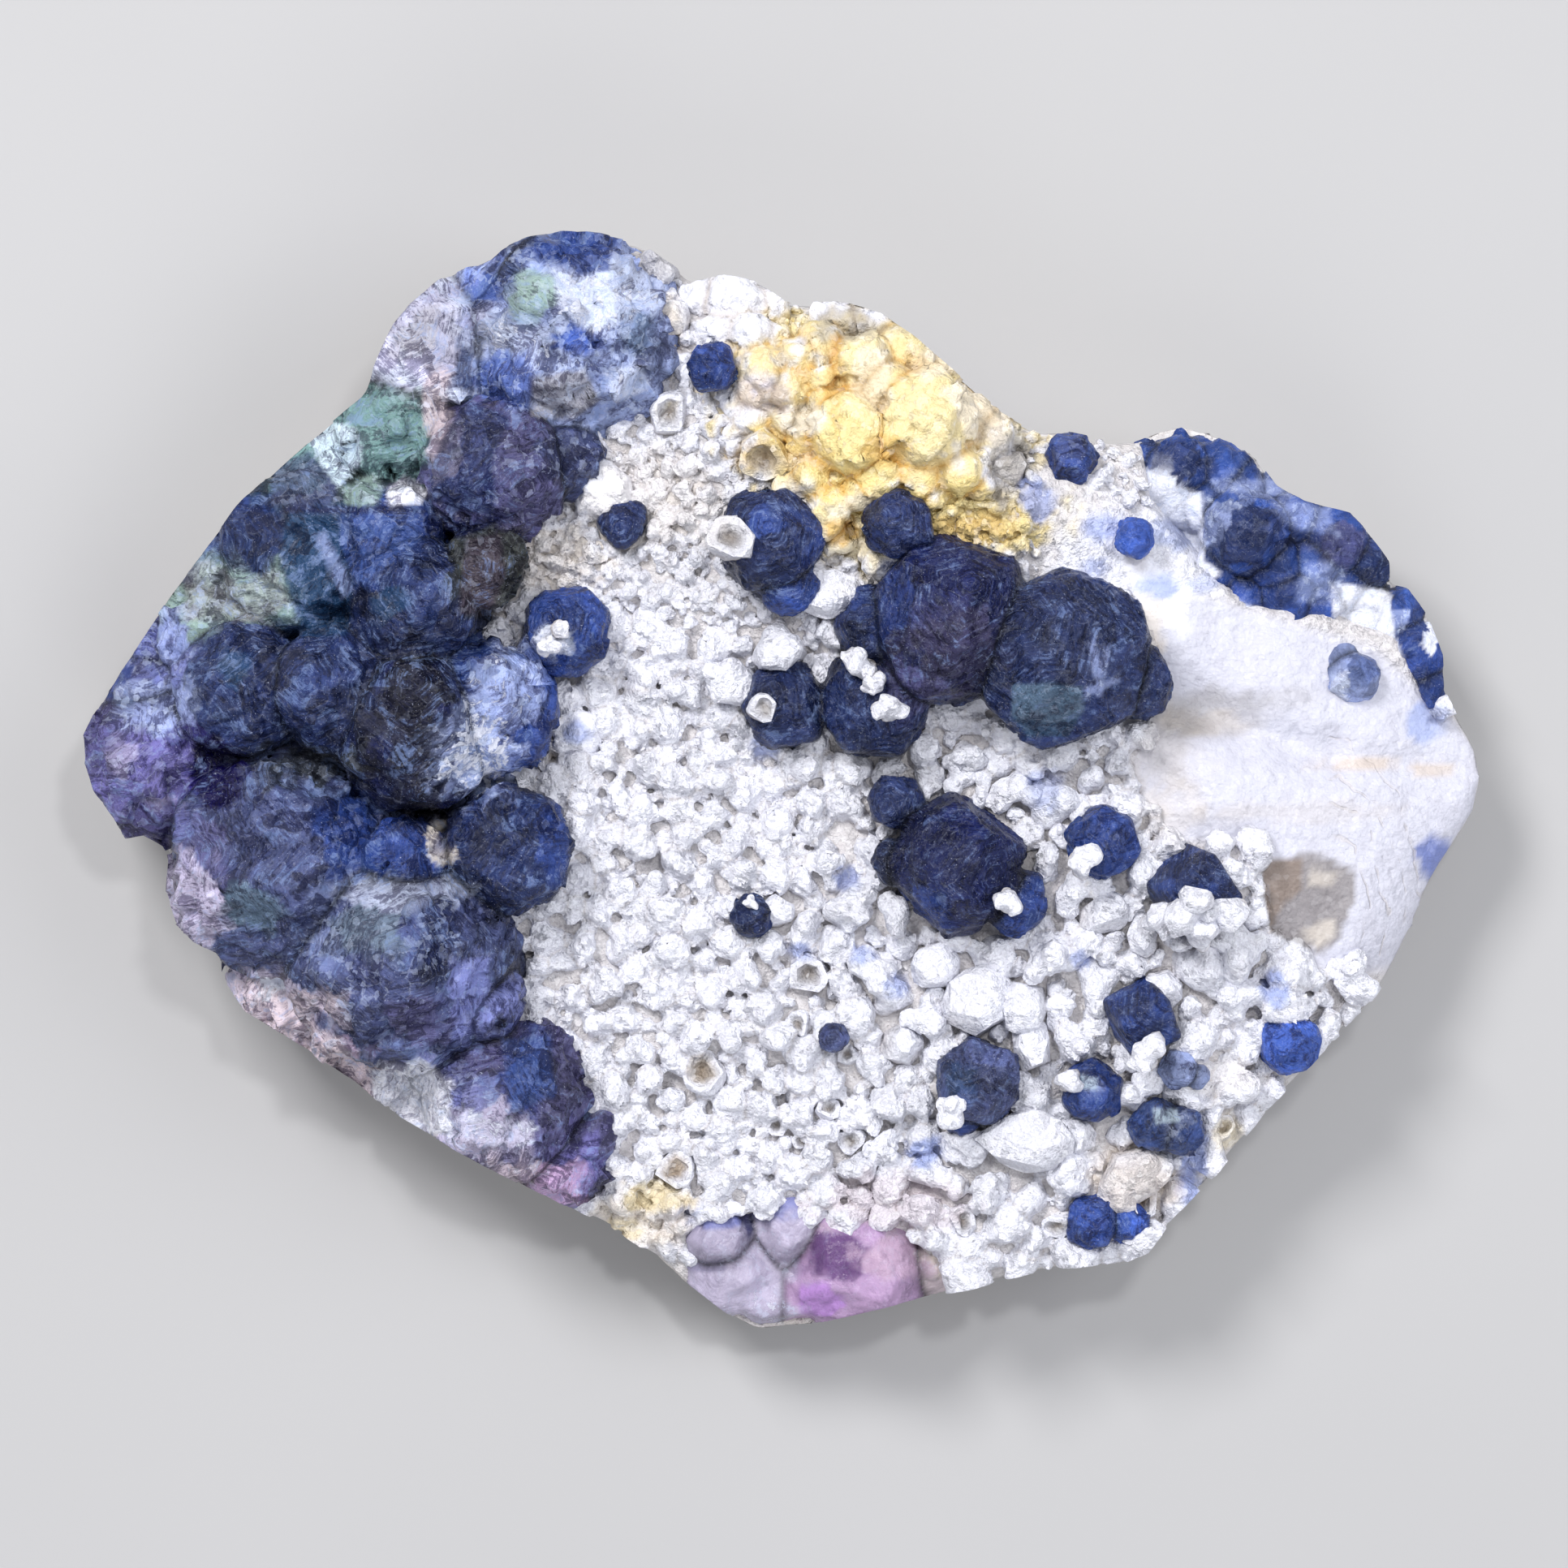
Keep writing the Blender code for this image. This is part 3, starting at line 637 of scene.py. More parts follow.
@dataclass(frozen=True)
class QuartzFinish:
    """White quartz: waxy to sugary, with a fine crumb, calm and cracked on the smooth face."""

    name: str = "white_quartz"
    crumb: float = 0.9
    mottle: float = 0.16
    face_calm: float = 0.82
    crumbs_per_mm: float = 2.4
    crumb_tilt: float = 0.75
    relief: float = 0.85
    shadow: tuple = (0.68, 0.63, 0.62, 1.0)
    dust: tuple = (0.70, 0.67, 0.70, 1.0)
    chalk: tuple = (0.94, 0.95, 1.0, 1.0)
    crack: tuple = (0.52, 0.47, 0.44, 1.0)

    def build(self) -> bpy.types.Material:
        """Builds the material.

        Returns:
            The material.
        """
        graph = Graph(self.name)
        tint = graph.read(TINT, "Color")
        face = graph.read(TINT, "Alpha")
        calm = 1.0 - self.face_calm * face.step(0.1, 0.9)
        mottle = graph.cloud(0.9, 3.0).step(0.40, 0.70) * self.mottle
        shade = graph.blend(mottle, tint, self.shadow, "MULTIPLY")
        grit = graph.cloud(4.0, 3.0, 0.7)
        crumb, chance, _ = graph.facets(self.crumbs_per_mm, self.crumb_tilt, 0.15)
        dusted = graph.blend(grit.step(0.56, 0.42) * 0.34 * calm, shade, self.dust, "MULTIPLY")
        colour = graph.blend(chance.step(0.7, 1.0) * 0.3 * calm, dusted, self.chalk)
        rings = (graph.read(GROWTH, "Fac") * 5.2 + graph.cloud(0.5, 2.0) * 9.0).sine().step(0.86, 1.0)
        cracks = rings * face.step(1.2, 1.8) * graph.cloud(0.8).step(0.42, 0.60)
        colour = graph.blend(cracks * 0.4, colour, self.crack)
        height = (crumb * self.crumb + grit * 0.30) * calm + graph.cloud(1.4, 2.0) * 0.22
        height = height - cracks * 0.06
        graph.fill(
            Base_Color=colour, Roughness=0.30 + 0.3 * graph.cloud(1.7),
            Normal=graph.bump(height, 1.0, self.relief),
        )
        return graph.material


@dataclass(frozen=True)
class FluoriteFinish:
    """Fluorite: facets, growth bands with streaks along them, painted glints and highlights, and frost where
    the piece has it.
    """

    name: str
    step_mm: float = 0.34
    relief: float = 0.8
    clear: float = 0.0
    painted_glints: float = 0.55
    face_mm: float = 1.1
    contrast: float = 0.85
    cellular: float = 0.35
    streaks: float = 1.7
    banding: float = 0.13
    tilt: float = 0.20
    grain: float = 0.12
    streaks_per_mm: float = 0.65
    streak_run: tuple = (4.0, 2.5, -3.0)
    refraction: float = 1.434
    gloss: float = 0.32
    depths: tuple = (0.20, 0.19, 0.26, 1.0)
    light_blue: tuple = (0.20, 0.29, 0.56, 1.0)
    face_edge_highlight: tuple = (0.52, 0.58, 0.78, 1.0)
    glint: tuple = (0.55, 0.60, 0.80, 1.0)
    plate_highlight: tuple = (0.60, 0.68, 0.88, 1.0)
    rime: tuple = (0.72, 0.75, 0.87, 1.0)

    def build(self) -> bpy.types.Material:
        """Builds the material.

        Returns:
            The material.
        """
        graph = Graph(self.name)
        tint, frost = graph.read(TINT, "Color"), graph.read(TINT, "Alpha")
        swell, grey, fine = graph.cloud(0.8, 2.0), graph.cloud(2.3, 3.0, 0.75), graph.cloud(5.0, 3.0, 0.8)
        steps = graph.read(GROWTH, "Fac")
        growth = steps * (2.0 * math.pi / self.step_mm) + swell * 22.0 + grey * 7.0
        bands = growth.sine() * graph.cloud(0.35, 1.0).step(0.46, 0.60)
        faces, chance, seam = graph.facets(1.0 / self.face_mm, self.tilt)
        chips, luck, _ = graph.facets(3.6 / self.face_mm, 0.34)
        streak = self._streak(graph, steps)
        shade = (chance * 0.75 + luck * 0.45 - 0.6) * self.cellular + (swell - 0.5) * 0.9 + (fine - 0.5) * 0.8
        shade = shade + (streak - 0.5) * self.streaks + bands * self.banding
        dark = graph.blend(shade.step(0.10, -0.38) * self.contrast, tint, self.depths, "MULTIPLY")
        lit = graph.blend(shade.step(0.12, 0.55) * self.contrast * 0.5, dark, self.light_blue)
        # Painted highlight: lighter lines along the edges of the small faces, stronger where the piece is
        # frosted.
        edge = seam.step(0.045, 0.0) * grey.step(0.42, 0.62) * (0.16 + frost)
        with_face_edge_highlights = graph.blend(edge * 0.6, lit, self.face_edge_highlight)
        # Painted glints: tiny bright specks in the colour.
        glints = graph.cloud(9.0, 1.0, 0.8).step(0.68, 0.76) * grey.step(0.40, 0.60) * self.painted_glints
        with_painted_glints = graph.blend(glints, with_face_edge_highlights, self.glint)
        rime = (frost * 1.4 - grey * 0.4 - 0.3 * luck - 0.12 * chance - streak).step(-0.02, 0.14)
        # Painted highlights: some small faces made bright, mostly where the piece is frosted.
        plate_highlights = luck.step(0.78, 0.86) * (frost * 0.8 + 0.04)
        with_plate_highlights = graph.blend(plate_highlights * 0.7, with_painted_glints, self.plate_highlight)
        height = faces + chips + bands * 0.03 + fine * self.grain + streak * 0.16 + rime * 0.05
        graph.fill(
            Base_Color=graph.blend(rime * (0.50 + 0.36 * frost), with_plate_highlights, self.rime),
            Roughness=0.12 + 0.20 * grey + rime * 0.25, Normal=graph.bump(height, 1.0, self.relief),
            IOR=self.refraction, Transmission_Weight=self.clear, Specular_IOR_Level=self.gloss,
        )
        return graph.material

    def _streak(self, graph: Graph, steps: Wire) -> Wire:
        """Adds noise that is drawn out along the growth steps.

        Args:
            graph: The material's nodes.
            steps: Distance along the steps.

        Returns:
            The noise.
        """
        runs = {axis: steps * run for axis, run in enumerate(self.streak_run)}
        lane = graph.node("ShaderNodeCombineXYZ", None, runs)
        lane = graph.vector("MULTIPLY_ADD", graph.place, (self.streaks_per_mm / MM,) * 3, lane)
        return graph.node(
            "ShaderNodeTexNoise", None, {"Vector": lane, "Scale": 1.0, "Detail": 3.0, "Roughness": 0.75},
        )


@dataclass(frozen=True)
class TableFinish:
    """The pale matt table under the specimen."""

    name: str = "pale_table"
    dark: tuple = (0.40, 0.40, 0.41, 1.0)
    light: tuple = (0.43, 0.43, 0.44, 1.0)

    def build(self) -> bpy.types.Material:
        """Builds the material.

        Returns:
            The material.
        """
        graph = Graph(self.name)
        colour = graph.blend(graph.cloud(0.02, 2.0), self.dark, self.light)
        graph.fill(Base_Color=colour, Roughness=0.8)
        return graph.material


@dataclass(frozen=True)
class Lobe:
    """A ball of a growth: centre and radius in millimetres, colour, and how broken and how slim it is."""

    x: float
    y: float
    z: float
    radius: float
    tint: Tint = Tint.NAVY
    broken: float = 1.0
    slim: float = 0.0

    @property
    def centre(self) -> tuple[float, float, float]:
        """The centre."""
        return self.x, self.y, self.z


@dataclass(frozen=True)
class Cube:
    """A cube corner: centre, edge in millimetres and turn in degrees."""

    x: float
    y: float
    z: float
    edge: float
    turn: tuple[float, float, float]
    tint: Tint = Tint.NAVY


T = Tint
LEFT_LOBES = [Lobe(*row) for row in (
    (-13.3, 27.3, 11.6, 6.3, T.HAZE_BLUE, 1.2), (-16.4, 30.4, 11, 3.6, T.HAZE_BLUE, 1.2),
    (-11.0, 26.0, 12.6, 2.9, T.FROST, 1.2), (-17.8, 19.4, 14.4, 4.2, T.DUSK, 0.8),
    (-13.5, 20, 13.8, 2.2, T.SLATE, 0.8), (-21.8, 26.3, 10.6, 4.9, T.SNOW, 1.1),
    (-23.6, 21.8, 11.6, 4, T.GREEN, 1.3), (-28.5, 18.8, 10.2, 3.8, T.GREEN, 1.3),
    (-29.6, 14.3, 12.6, 4.8, T.TEAL, 0.45), (-33.8, 13, 10.2, 3.4, T.BLUE, 1.2),
    (-24.3, 15.4, 14, 3, T.BLUE, 0.8), (-35.1, 9.6, 10.4, 3.4, T.PALE_GREEN, 1.2),
    (-22.9, 11.3, 15.4, 3.8, T.NAVY, 0.45), (-18.4, 13.4, 15.2, 2.4, T.OLIVE, 0.45),
    (-33.4, 5.9, 13.6, 3.8, T.NAVY, 0.45), (-27.6, 5.8, 15.2, 3.5, T.NAVY, 0.45),
    (-22.6, 3.2, 15.4, 4.4, T.INK, 0.45), (-18, 4.6, 14.4, 3.7, T.BLUE, 0.8),
    (-38.6, 1.4, 8.8, 4.7, T.PURPLE, 0.8), (-39.2, 5.6, 8.4, 2.8, T.BLUE, 0.8),
    (-31.1, -4.8, 11.6, 6.4, T.SLATE, 0.8), (-16.9, -4, 14.4, 3.5, T.NAVY, 0.45),
    (-23.4, -10.7, 12.4, 6.6, T.SLATE, 0.8), (-17.2, -19.6, 10.2, 4.9, T.DUSK, 0.8),
    (-13.6, -23, 9.4, 2.9, T.DUSK, 0.8), (-23.2, -5.2, 14.2, 2.7, T.BLUE, 0.8),
    (-18.6, -13.2, 13.2, 2.4, T.PERIWINKLE, 0.8), (-31, -13.4, 8.6, 3.4, T.LILAC),
    (-26.4, -16.6, 8.2, 3.4, T.ROSE), (-36.2, -7.2, 8.4, 2.8, T.LILAC), (-21.2, -21.2, 7.8, 3, T.CREAM),
    (-38.4, 9.4, 8.2, 2.8, T.BLUE, 0.8),
)]
RIGHT_LOBES = [Lobe(*ball, T.CRUST_BLUE) for ball in (
    (24.5, 19.6, 9.4, 1.9), (22.5, 20.1, 8.6, 1.2), (28.5, 15.6, 10.6, 2.6), (34.0, 15.2, 8.8, 2.2),
    (36.4, 13.9, 8.2, 1.6), (31.1, 11.9, 9.0, 1.9), (28.2, 11.6, 9.6, 1.3), (33.2, 11.3, 8.8, 1.5),
    (39.3, 8.3, 7.0, 1.9), (38.2, 10.8, 7.0, 1.6), (31.7, 16.3, 8.8, 1.9), (30.3, 17.9, 8.0, 1.4),
    (26.7, 19.3, 8.6, 1.9), (28.2, 18.1, 8.6, 1.7), (25.7, 17.3, 9.6, 1.4), (24.7, 18.2, 9.6, 1.2),
    (32.7, 13.8, 9.0, 1.8), (34.7, 12.3, 8.2, 1.5), (36.0, 11.4, 7.8, 1.2), (40.0, 6.0, 6.8, 1.3),
    (26.7, 13.4, 10.0, 1.4), (30.2, 13.8, 9.8, 1.7),
)]
PURPLE_LOBES = [Lobe(*row) for row in (
    (4.8, -29.9, 6.2, 4.6, T.MAUVE), (-3.2, -30.3, 6.4, 3, T.LILAC), (-4, -28.2, 8, 2, T.DUSK),
    (0.4, -27.6, 7.4, 2.2, T.LILAC), (8.8, -29.6, 6.6, 2.4, T.ROSE),
)]
CRYSTALS = {
    "paired_balls": [
        Lobe(10.1, 10, 15.4, 5, T.INK), Lobe(17, 7.7, 16, 5.3, T.NAVY), Lobe(5.5, 4.9, 14, 3.3, T.NAVY),
        Lobe(0.1, 4.9, 13.2, 2.6, T.NAVY), Lobe(21.6, 6.3, 14.6, 2.3, T.NAVY),
        Lobe(5.9, 9.6, 14.8, 2.6, T.NAVY),
    ],
    "middle_ball": [
        Lobe(10.6, -5.0, 14.4, 4.3, T.INK, 0.8, 0.20), Lobe(6.9, -1.1, 13.4, 1.7, T.NAVY),
        Lobe(14.2, -7.2, 13.5, 2, T.BLUE), Lobe(6.9, -4.8, 13.0, 1.5, T.NAVY),
    ],
    "ringed_ball": [Lobe(-13.3, 9.4, 13.6, 2.7, T.BLUE)],
    "top_ball": [Lobe(-4.4, 25.5, 16, 1.5, T.BLUE)],
    "ball_by_hollow_grain": [Lobe(-0.9, 14.9, 15.4, 3.2, T.NAVY), Lobe(0.2, 12.4, 14.8, 2, T.BLUE)],
    "half_buried_ball": [Lobe(-9.9, 16.1, 13.4, 1.5, T.NAVY)],
    "pointed_crystal": [Lobe(6.9, 15.8, 16.8, 2.1, T.NAVY)],
    "ball_by_smooth_face": [Lobe(19.6, -3.6, 14.2, 2.2, T.BLUE)],
    "lower_ball": [Lobe(11.9, -18.3, 12.4, 2.6, T.SLATE), Lobe(10.9, -20.3, 11.7, 1.3, T.BLUE)],
    "glassy_ball": [Lobe(19, -18.9, 12.4, 1.9, T.BLUE)],
    "glassy_ball_low": [Lobe(22.9, -21.0, 11.8, 1.6, T.MID_BLUE), Lobe(24.4, -21.3, 11.7, 1.5, T.MID_BLUE)],
    "edge_ball": [Lobe(31.2, -16, 11.0, 1.9, T.BRIGHT_BLUE)],
    "bottom_crystals": [Lobe(19, -27, 10.8, 1.6, T.BLUE), Lobe(21.3, -27.1, 10.2, 1.4, T.BRIGHT_BLUE)],
    "small_ball_middle": [Lobe(-2, -8.1, 12, 1.3, T.NAVY)],
    "small_ball_low": [Lobe(3, -15.6, 11.6, 0.9, T.SLATE)],
    "trefoil_ball": [Lobe(24.3, -17.6, 12.6, 1.2, T.HAZE_BLUE), Lobe(25.4, -18, 12.2, 0.8, T.HAZE_BLUE)],
    "patch_ball": [Lobe(21.5, 15.1, 14.2, 1.2, T.BRIGHT_BLUE)],
    "pale_ball_right": [Lobe(35.2, 6.6, 9.6, 1.7, T.FROST), Lobe(34.6, 7.4, 9.2, 1.3, T.FROST)],
    "rim_ball": [Lobe(17.6, 20, 13.4, 1.6, T.BLUE)],
}
PALE_CRYSTALS = ("patch_ball", "pale_ball_right")
CLEAR_CRYSTALS = ("glassy_ball", "glassy_ball_low")
CORNERS = {
    "cube_corner_upper": Cube(25.0, -6.5, 14.0, 3.8, (28, 14, 42), T.NAVY),
    "cube_corner_lower": Cube(22, -14.4, 13.2, 3.2, (38, 10, 28), T.NAVY),
}

LEFT_SPOTS = [Spot(*row) for row in (
    (690, 400, 120, 100, T.HAZE_BLUE, 0.9, 0.5), (704, 306, 56, 24, T.BLUE, 0.95, 0.1),
    (745, 365, 62, 42, T.SNOW, 0.6, 0.72), (680, 425, 60, 26, T.SNOW, 0.45, 0.6),
    (660, 365, 32, 26, T.PALE_GREEN, 0.9, 0.2), (594, 357, 24, 24, T.BRIGHT_BLUE, 0.5, 0.4),
    (612, 468, 34, 30, T.BRIGHT_BLUE, 0.5, 0.4), (600, 412, 32, 24, T.SNOW, 0.7, 0.7),
    (709, 426, 22, 14, T.BRIGHT_BLUE, 0.9, 0.3), (786, 410, 16, 26, T.SEA_GREY, 0.5, 0.4),
    (730, 488, 68, 34, T.FROST, 0.8, 0.5), (630, 330, 24, 30, T.BLUE, 0.7, 0.4),
    (530, 420, 58, 74, T.LILAC, 0.6, 0.4), (575, 430, 10, 60, T.BLUE, 0.5, 0.3),
    (486, 540, 46, 42, T.GREEN, 1.0), (545, 530, 20, 60, T.ROSE, 0.8, 0.5),
    (500, 500, 40, 16, T.PALE_GREEN, 0.6, 0.4), (445, 600, 20, 14, T.GREEN, 0.9),
    (385, 600, 60, 28, T.OLIVE, 0.8, 0.2), (360, 590, 40, 20, T.GREEN, 0.7), (310, 668, 36, 50, T.BLUE, 0.9),
    (321, 681, 18, 20, T.TEAL, 0.9), (380, 697, 44, 62, T.TEAL, 0.9), (472, 680, 48, 46, T.BLUE, 0.9),
    (270, 730, 56, 46, T.PALE_GREEN, 0.9, 0.4), (345, 730, 40, 34, T.PALE_GREEN, 0.7, 0.5),
    (512, 736, 58, 66, T.NAVY, 0.9), (487, 744, 22, 26, T.TEAL, 0.8), (594, 706, 34, 50, T.OLIVE, 0.9),
    (592, 575, 60, 70, T.NAVY, 0.5), (696, 562, 38, 34, T.SLATE, 0.9, 0.25), (293, 845, 56, 70, T.NAVY, 1.0),
    (293, 824, 20, 26, T.TEAL, 0.8), (416, 847, 58, 68, T.NAVY, 1.0), (510, 910, 54, 100, T.BLACK_BLUE, 0.9),
    (610, 820, 48, 46, T.BLUE, 0.9), (590, 930, 52, 56, T.HAZE_BLUE, 0.9, 0.78),
    (625, 850, 38, 64, T.HAZE_BLUE, 0.85, 0.62), (500, 990, 50, 16, T.BLACK_BLUE, 0.8),
    (512, 850, 40, 60, T.BLACK_BLUE, 0.8), (198, 800, 38, 56, T.PERIWINKLE, 0.8, 0.4),
    (178, 936, 76, 92, T.PURPLE, 0.9, 0.15), (150, 930, 20, 20, T.LILAC, 0.4, 0.4),
    (210, 990, 24, 16, T.LILAC, 0.5, 0.5), (220, 900, 40, 26, T.DEEP_PURPLE, 0.6),
    (268, 955, 32, 42, T.DEEP_PURPLE, 1.0), (200, 870, 50, 34, T.HAZE_BLUE, 0.8, 0.5),
    (446, 968, 22, 50, T.BLACK_BLUE, 1.0), (376, 944, 56, 24, T.OLIVE, 0.8, 0.15),
    (330, 1060, 110, 92, T.SLATE, 0.8), (250, 1070, 34, 60, T.DUSK, 0.8), (436, 1027, 28, 48, T.BLUE, 0.9),
    (313, 1116, 30, 26, T.GREEN, 0.3), (500, 1062, 44, 26, T.BLUE, 0.9),
    (540, 1030, 9, 14, T.CREAM, 0.8, 0.3), (548, 1056, 8, 12, T.CREAM, 0.7, 0.3),
    (560, 1085, 14, 18, T.BLACK_BLUE, 0.8), (632, 1046, 64, 58, T.NAVY, 1.0),
    (680, 1040, 18, 48, T.BLUE, 0.8), (470, 1160, 90, 76, T.SLATE, 0.8, 0.2),
    (460, 1146, 40, 32, T.PALE_GREEN, 0.25, 0.2), (500, 1096, 70, 20, T.SNOW, 0.5, 0.5),
    (450, 1225, 80, 50, T.SLATE, 0.6, 0.35), (540, 1150, 24, 60, T.NAVY, 0.6, 0.3),
    (400, 1130, 20, 60, T.FROST, 0.4, 0.3), (582, 1228, 26, 48, T.PERIWINKLE, 0.9),
    (616, 1242, 9, 26, T.BLACK_BLUE, 1.0), (652, 1320, 32, 48, T.BLUE, 0.9),
    (570, 1400, 76, 44, T.LILAC, 0.75, 0.5), (610, 1392, 60, 16, T.SNOW, 0.8, 0.8),
    (650, 1450, 60, 22, T.ROSE, 0.7, 0.4), (710, 1430, 26, 48, T.PURPLE, 1.0),
    (684, 1462, 36, 26, T.MAUVE, 0.95, 0.25), (540, 1340, 60, 40, T.PERIWINKLE, 0.6, 0.3),
    (238, 1116, 38, 56, T.LILAC, 0.8, 0.3), (350, 1250, 60, 44, T.ROSE, 0.7, 0.4),
    (330, 1215, 50, 14, T.LILAC, 0.8, 0.6), (410, 1290, 40, 14, T.PINK, 0.6, 0.3),
    (337, 1219, 14, 12, T.WHITE, 1.0, 1.0), (500, 1360, 50, 44, T.ROSE, 1.0, 0.55),
    (400, 1310, 36, 24, T.ROSE, 0.8, 0.5), (520, 1260, 40, 34, T.DUSK, 0.8),
)]
LEFT_PATCHES = [Patch(*row) for row in (
    (((651, 313), (675, 288), (724, 282), (756, 294), (750, 337), (712, 343), (681, 325)),
    T.BLUE, 0.9, 0.12), (((577, 349), (596, 334), (620, 349), (611, 371), (584, 374)),
    T.BRIGHT_BLUE, 0.5, 0.4), (((635, 343), (657, 334), (687, 346), (687, 374), (663, 389), (642, 371)),
    T.PALE_GREEN, 0.85, 0.3), (((681, 333), (712, 349), (748, 352), (765, 362), (757, 392), (736, 420),
    (712, 404), (690, 380)), T.SNOW, 0.7, 0.72), (((581, 471), (602, 447), (651, 435), (663, 471),
    (651, 510), (602, 493)), T.BRIGHT_BLUE, 0.5, 0.4), (((700, 413), (721, 411), (727, 441), (706, 446)),
    T.BRIGHT_BLUE, 0.8, 0.3), (((764, 389), (803, 386), (819, 429), (797, 453), (767, 435)),
    T.SEA_GREY, 0.35, 0.4), (((657, 471), (724, 459), (740, 496), (706, 520), (657, 518)),
    T.GREY, 0.75, 0.35), (((742, 462), (792, 450), (800, 480), (760, 500)), T.SNOW, 0.7, 0.6),
    (((565, 425), (584, 435), (584, 485), (562, 482)), T.NAVY, 0.85), (((486, 417), (516, 386), (545, 376),
    (540, 430), (500, 450), (478, 440)), T.GREY, 0.45, 0.2),
    (((523, 471), (553, 453), (553, 545), (523, 539)), T.ROSE, 0.7, 0.5), (((437, 508), (468, 484),
    (516, 496), (529, 533), (529, 575), (486, 581), (455, 569), (443, 539)), T.GREEN, 0.85, 0.1),
    (((380, 537), (403, 519), (443, 529), (448, 569), (420, 603), (397, 575)), T.ICE, 1.0, 0.3, 0.03, 0.1),
    (((479, 603), (501, 587), (529, 606), (523, 624), (483, 627)), T.WHITE, 1.0, 0.35, 0.03, 0.1),
    (((333, 575), (382, 557), (419, 600), (413, 627), (339, 624)), T.SLATE, 0.7, 0.15), (((425, 603),
    (462, 584), (478, 600), (468, 627), (431, 624)), T.PALE_GREEN, 0.85, 0.35),
    (((352, 625), (529, 628), (529, 637), (352, 635)), T.INK, 0.9), (((275, 628), (350, 636), (362, 660),
    (330, 715), (285, 700), (262, 660)), T.NAVY, 0.8), (((358, 640), (410, 640), (440, 720), (430, 785),
    (375, 785), (352, 700)), T.TEAL, 0.85), (((391, 661), (406, 658), (441, 728), (426, 740)),
    T.FROST, 0.6, 0.2, 0.04), (((422, 638), (516, 638), (523, 667), (455, 722), (440, 715), (422, 667)),
    T.MID_BLUE, 0.85, 0.1), (((225, 700), (262, 690), (297, 722), (345, 705), (362, 745), (321, 765),
    (230, 765)), T.GREY, 0.5, 0.45), (((577, 667), (620, 661), (626, 710), (608, 758), (571, 758)),
    T.UMBER, 0.9, 0.1), (((523, 638), (626, 640), (577, 665), (529, 661)), T.INK, 0.85), (((577, 493),
    (632, 520), (608, 640), (529, 618), (541, 563)), T.NAVY, 0.75, 0.05), (((626, 533), (681, 575),
    (655, 640), (615, 630), (608, 580)), T.DUSK, 0.6, 0.3),
    (((597, 560), (608, 556), (618, 620), (600, 622)), T.INK, 0.8), (((240, 915), (268, 903), (300, 928),
    (302, 985), (258, 1002), (238, 960)), T.MIDNIGHT, 1.0), (((560, 1380), (650, 1372), (662, 1400),
    (620, 1424), (560, 1420)), T.LILAC, 0.6, 0.5), (((620, 1280), (680, 1276), (684, 1350), (630, 1366)),
    T.MID_BLUE, 0.7), (((452, 1320), (520, 1302), (560, 1335), (556, 1398), (500, 1392), (462, 1368)),
    T.WHITE, 0.9, 0.62, 0.3), (((275, 1200), (330, 1215), (430, 1285), (445, 1335), (410, 1345),
    (300, 1268)), T.ROSE, 0.65, 0.45, 0.3),
    (((414, 985), (455, 975), (466, 1060), (430, 1080)), T.BLUE, 0.7, 0.1), (((560, 1182), (606, 1180),
    (600, 1270), (566, 1276)), T.PERIWINKLE, 0.7, 0.15), (((672, 1000), (700, 1010), (702, 1070),
    (676, 1085)), T.BLUE, 0.7, 0.1),
)]
RIGHT_PATCHES = [Patch(*row) for row in (
    (((1396, 560), (1440, 596), (1482, 606), (1484, 690), (1506, 706), (1470, 730), (1396, 640)),
    T.WHITE, 0.85, 0.8), (((1640, 715), (1716, 728), (1724, 790), (1650, 776)), T.WHITE, 0.85, 0.7),
    (((1690, 780), (1726, 790), (1740, 840), (1720, 860)), T.WHITE, 0.7, 0.7), (((1480, 735), (1560, 750),
    (1600, 770), (1560, 790), (1470, 760)), T.WHITE, 0.9, 0.8), (((1495, 590), (1580, 590), (1600, 612),
    (1500, 604)), T.HAZE_BLUE, 0.6, 0.4), (((1560, 615), (1640, 625), (1650, 660), (1590, 650)),
    T.HAZE_BLUE, 0.6, 0.5, 0.3, 0.3), (((1610, 690), (1660, 700), (1650, 740), (1600, 740)),
    T.FROST, 0.6, 0.6, 0.3, 0.3),
)]
CRYSTAL_PATCHES = [Patch(*row) for row in (
    (((1243, 846), (1290, 843), (1327, 850), (1330, 875), (1312, 907), (1262, 907), (1243, 882)),
    T.SEA_GREY, 1.0, 0.1, 0.03), (((1243, 886), (1262, 907), (1312, 907), (1325, 885), (1290, 893)),
    T.TEAL, 0.6), (((1336, 800), (1342, 788), (1353, 845), (1345, 850)), T.FROST, 0.7, 0.62), (((1330, 850),
    (1374, 834), (1376, 842), (1334, 860)), T.FROST, 0.7, 0.62), (((1356, 800), (1362, 798), (1352, 862),
    (1346, 862)), T.FROST, 0.5, 0.5), (((1130, 1090), (1165, 1100), (1160, 1150), (1128, 1135)),
    T.BLUE, 0.35), (((1420, 1366), (1450, 1366), (1452, 1380), (1424, 1384)), T.ICE, 0.7, 0.4),
    (((1330, 1322), (1352, 1326), (1350, 1342), (1332, 1340)), T.ICE, 0.7, 0.4),
)]
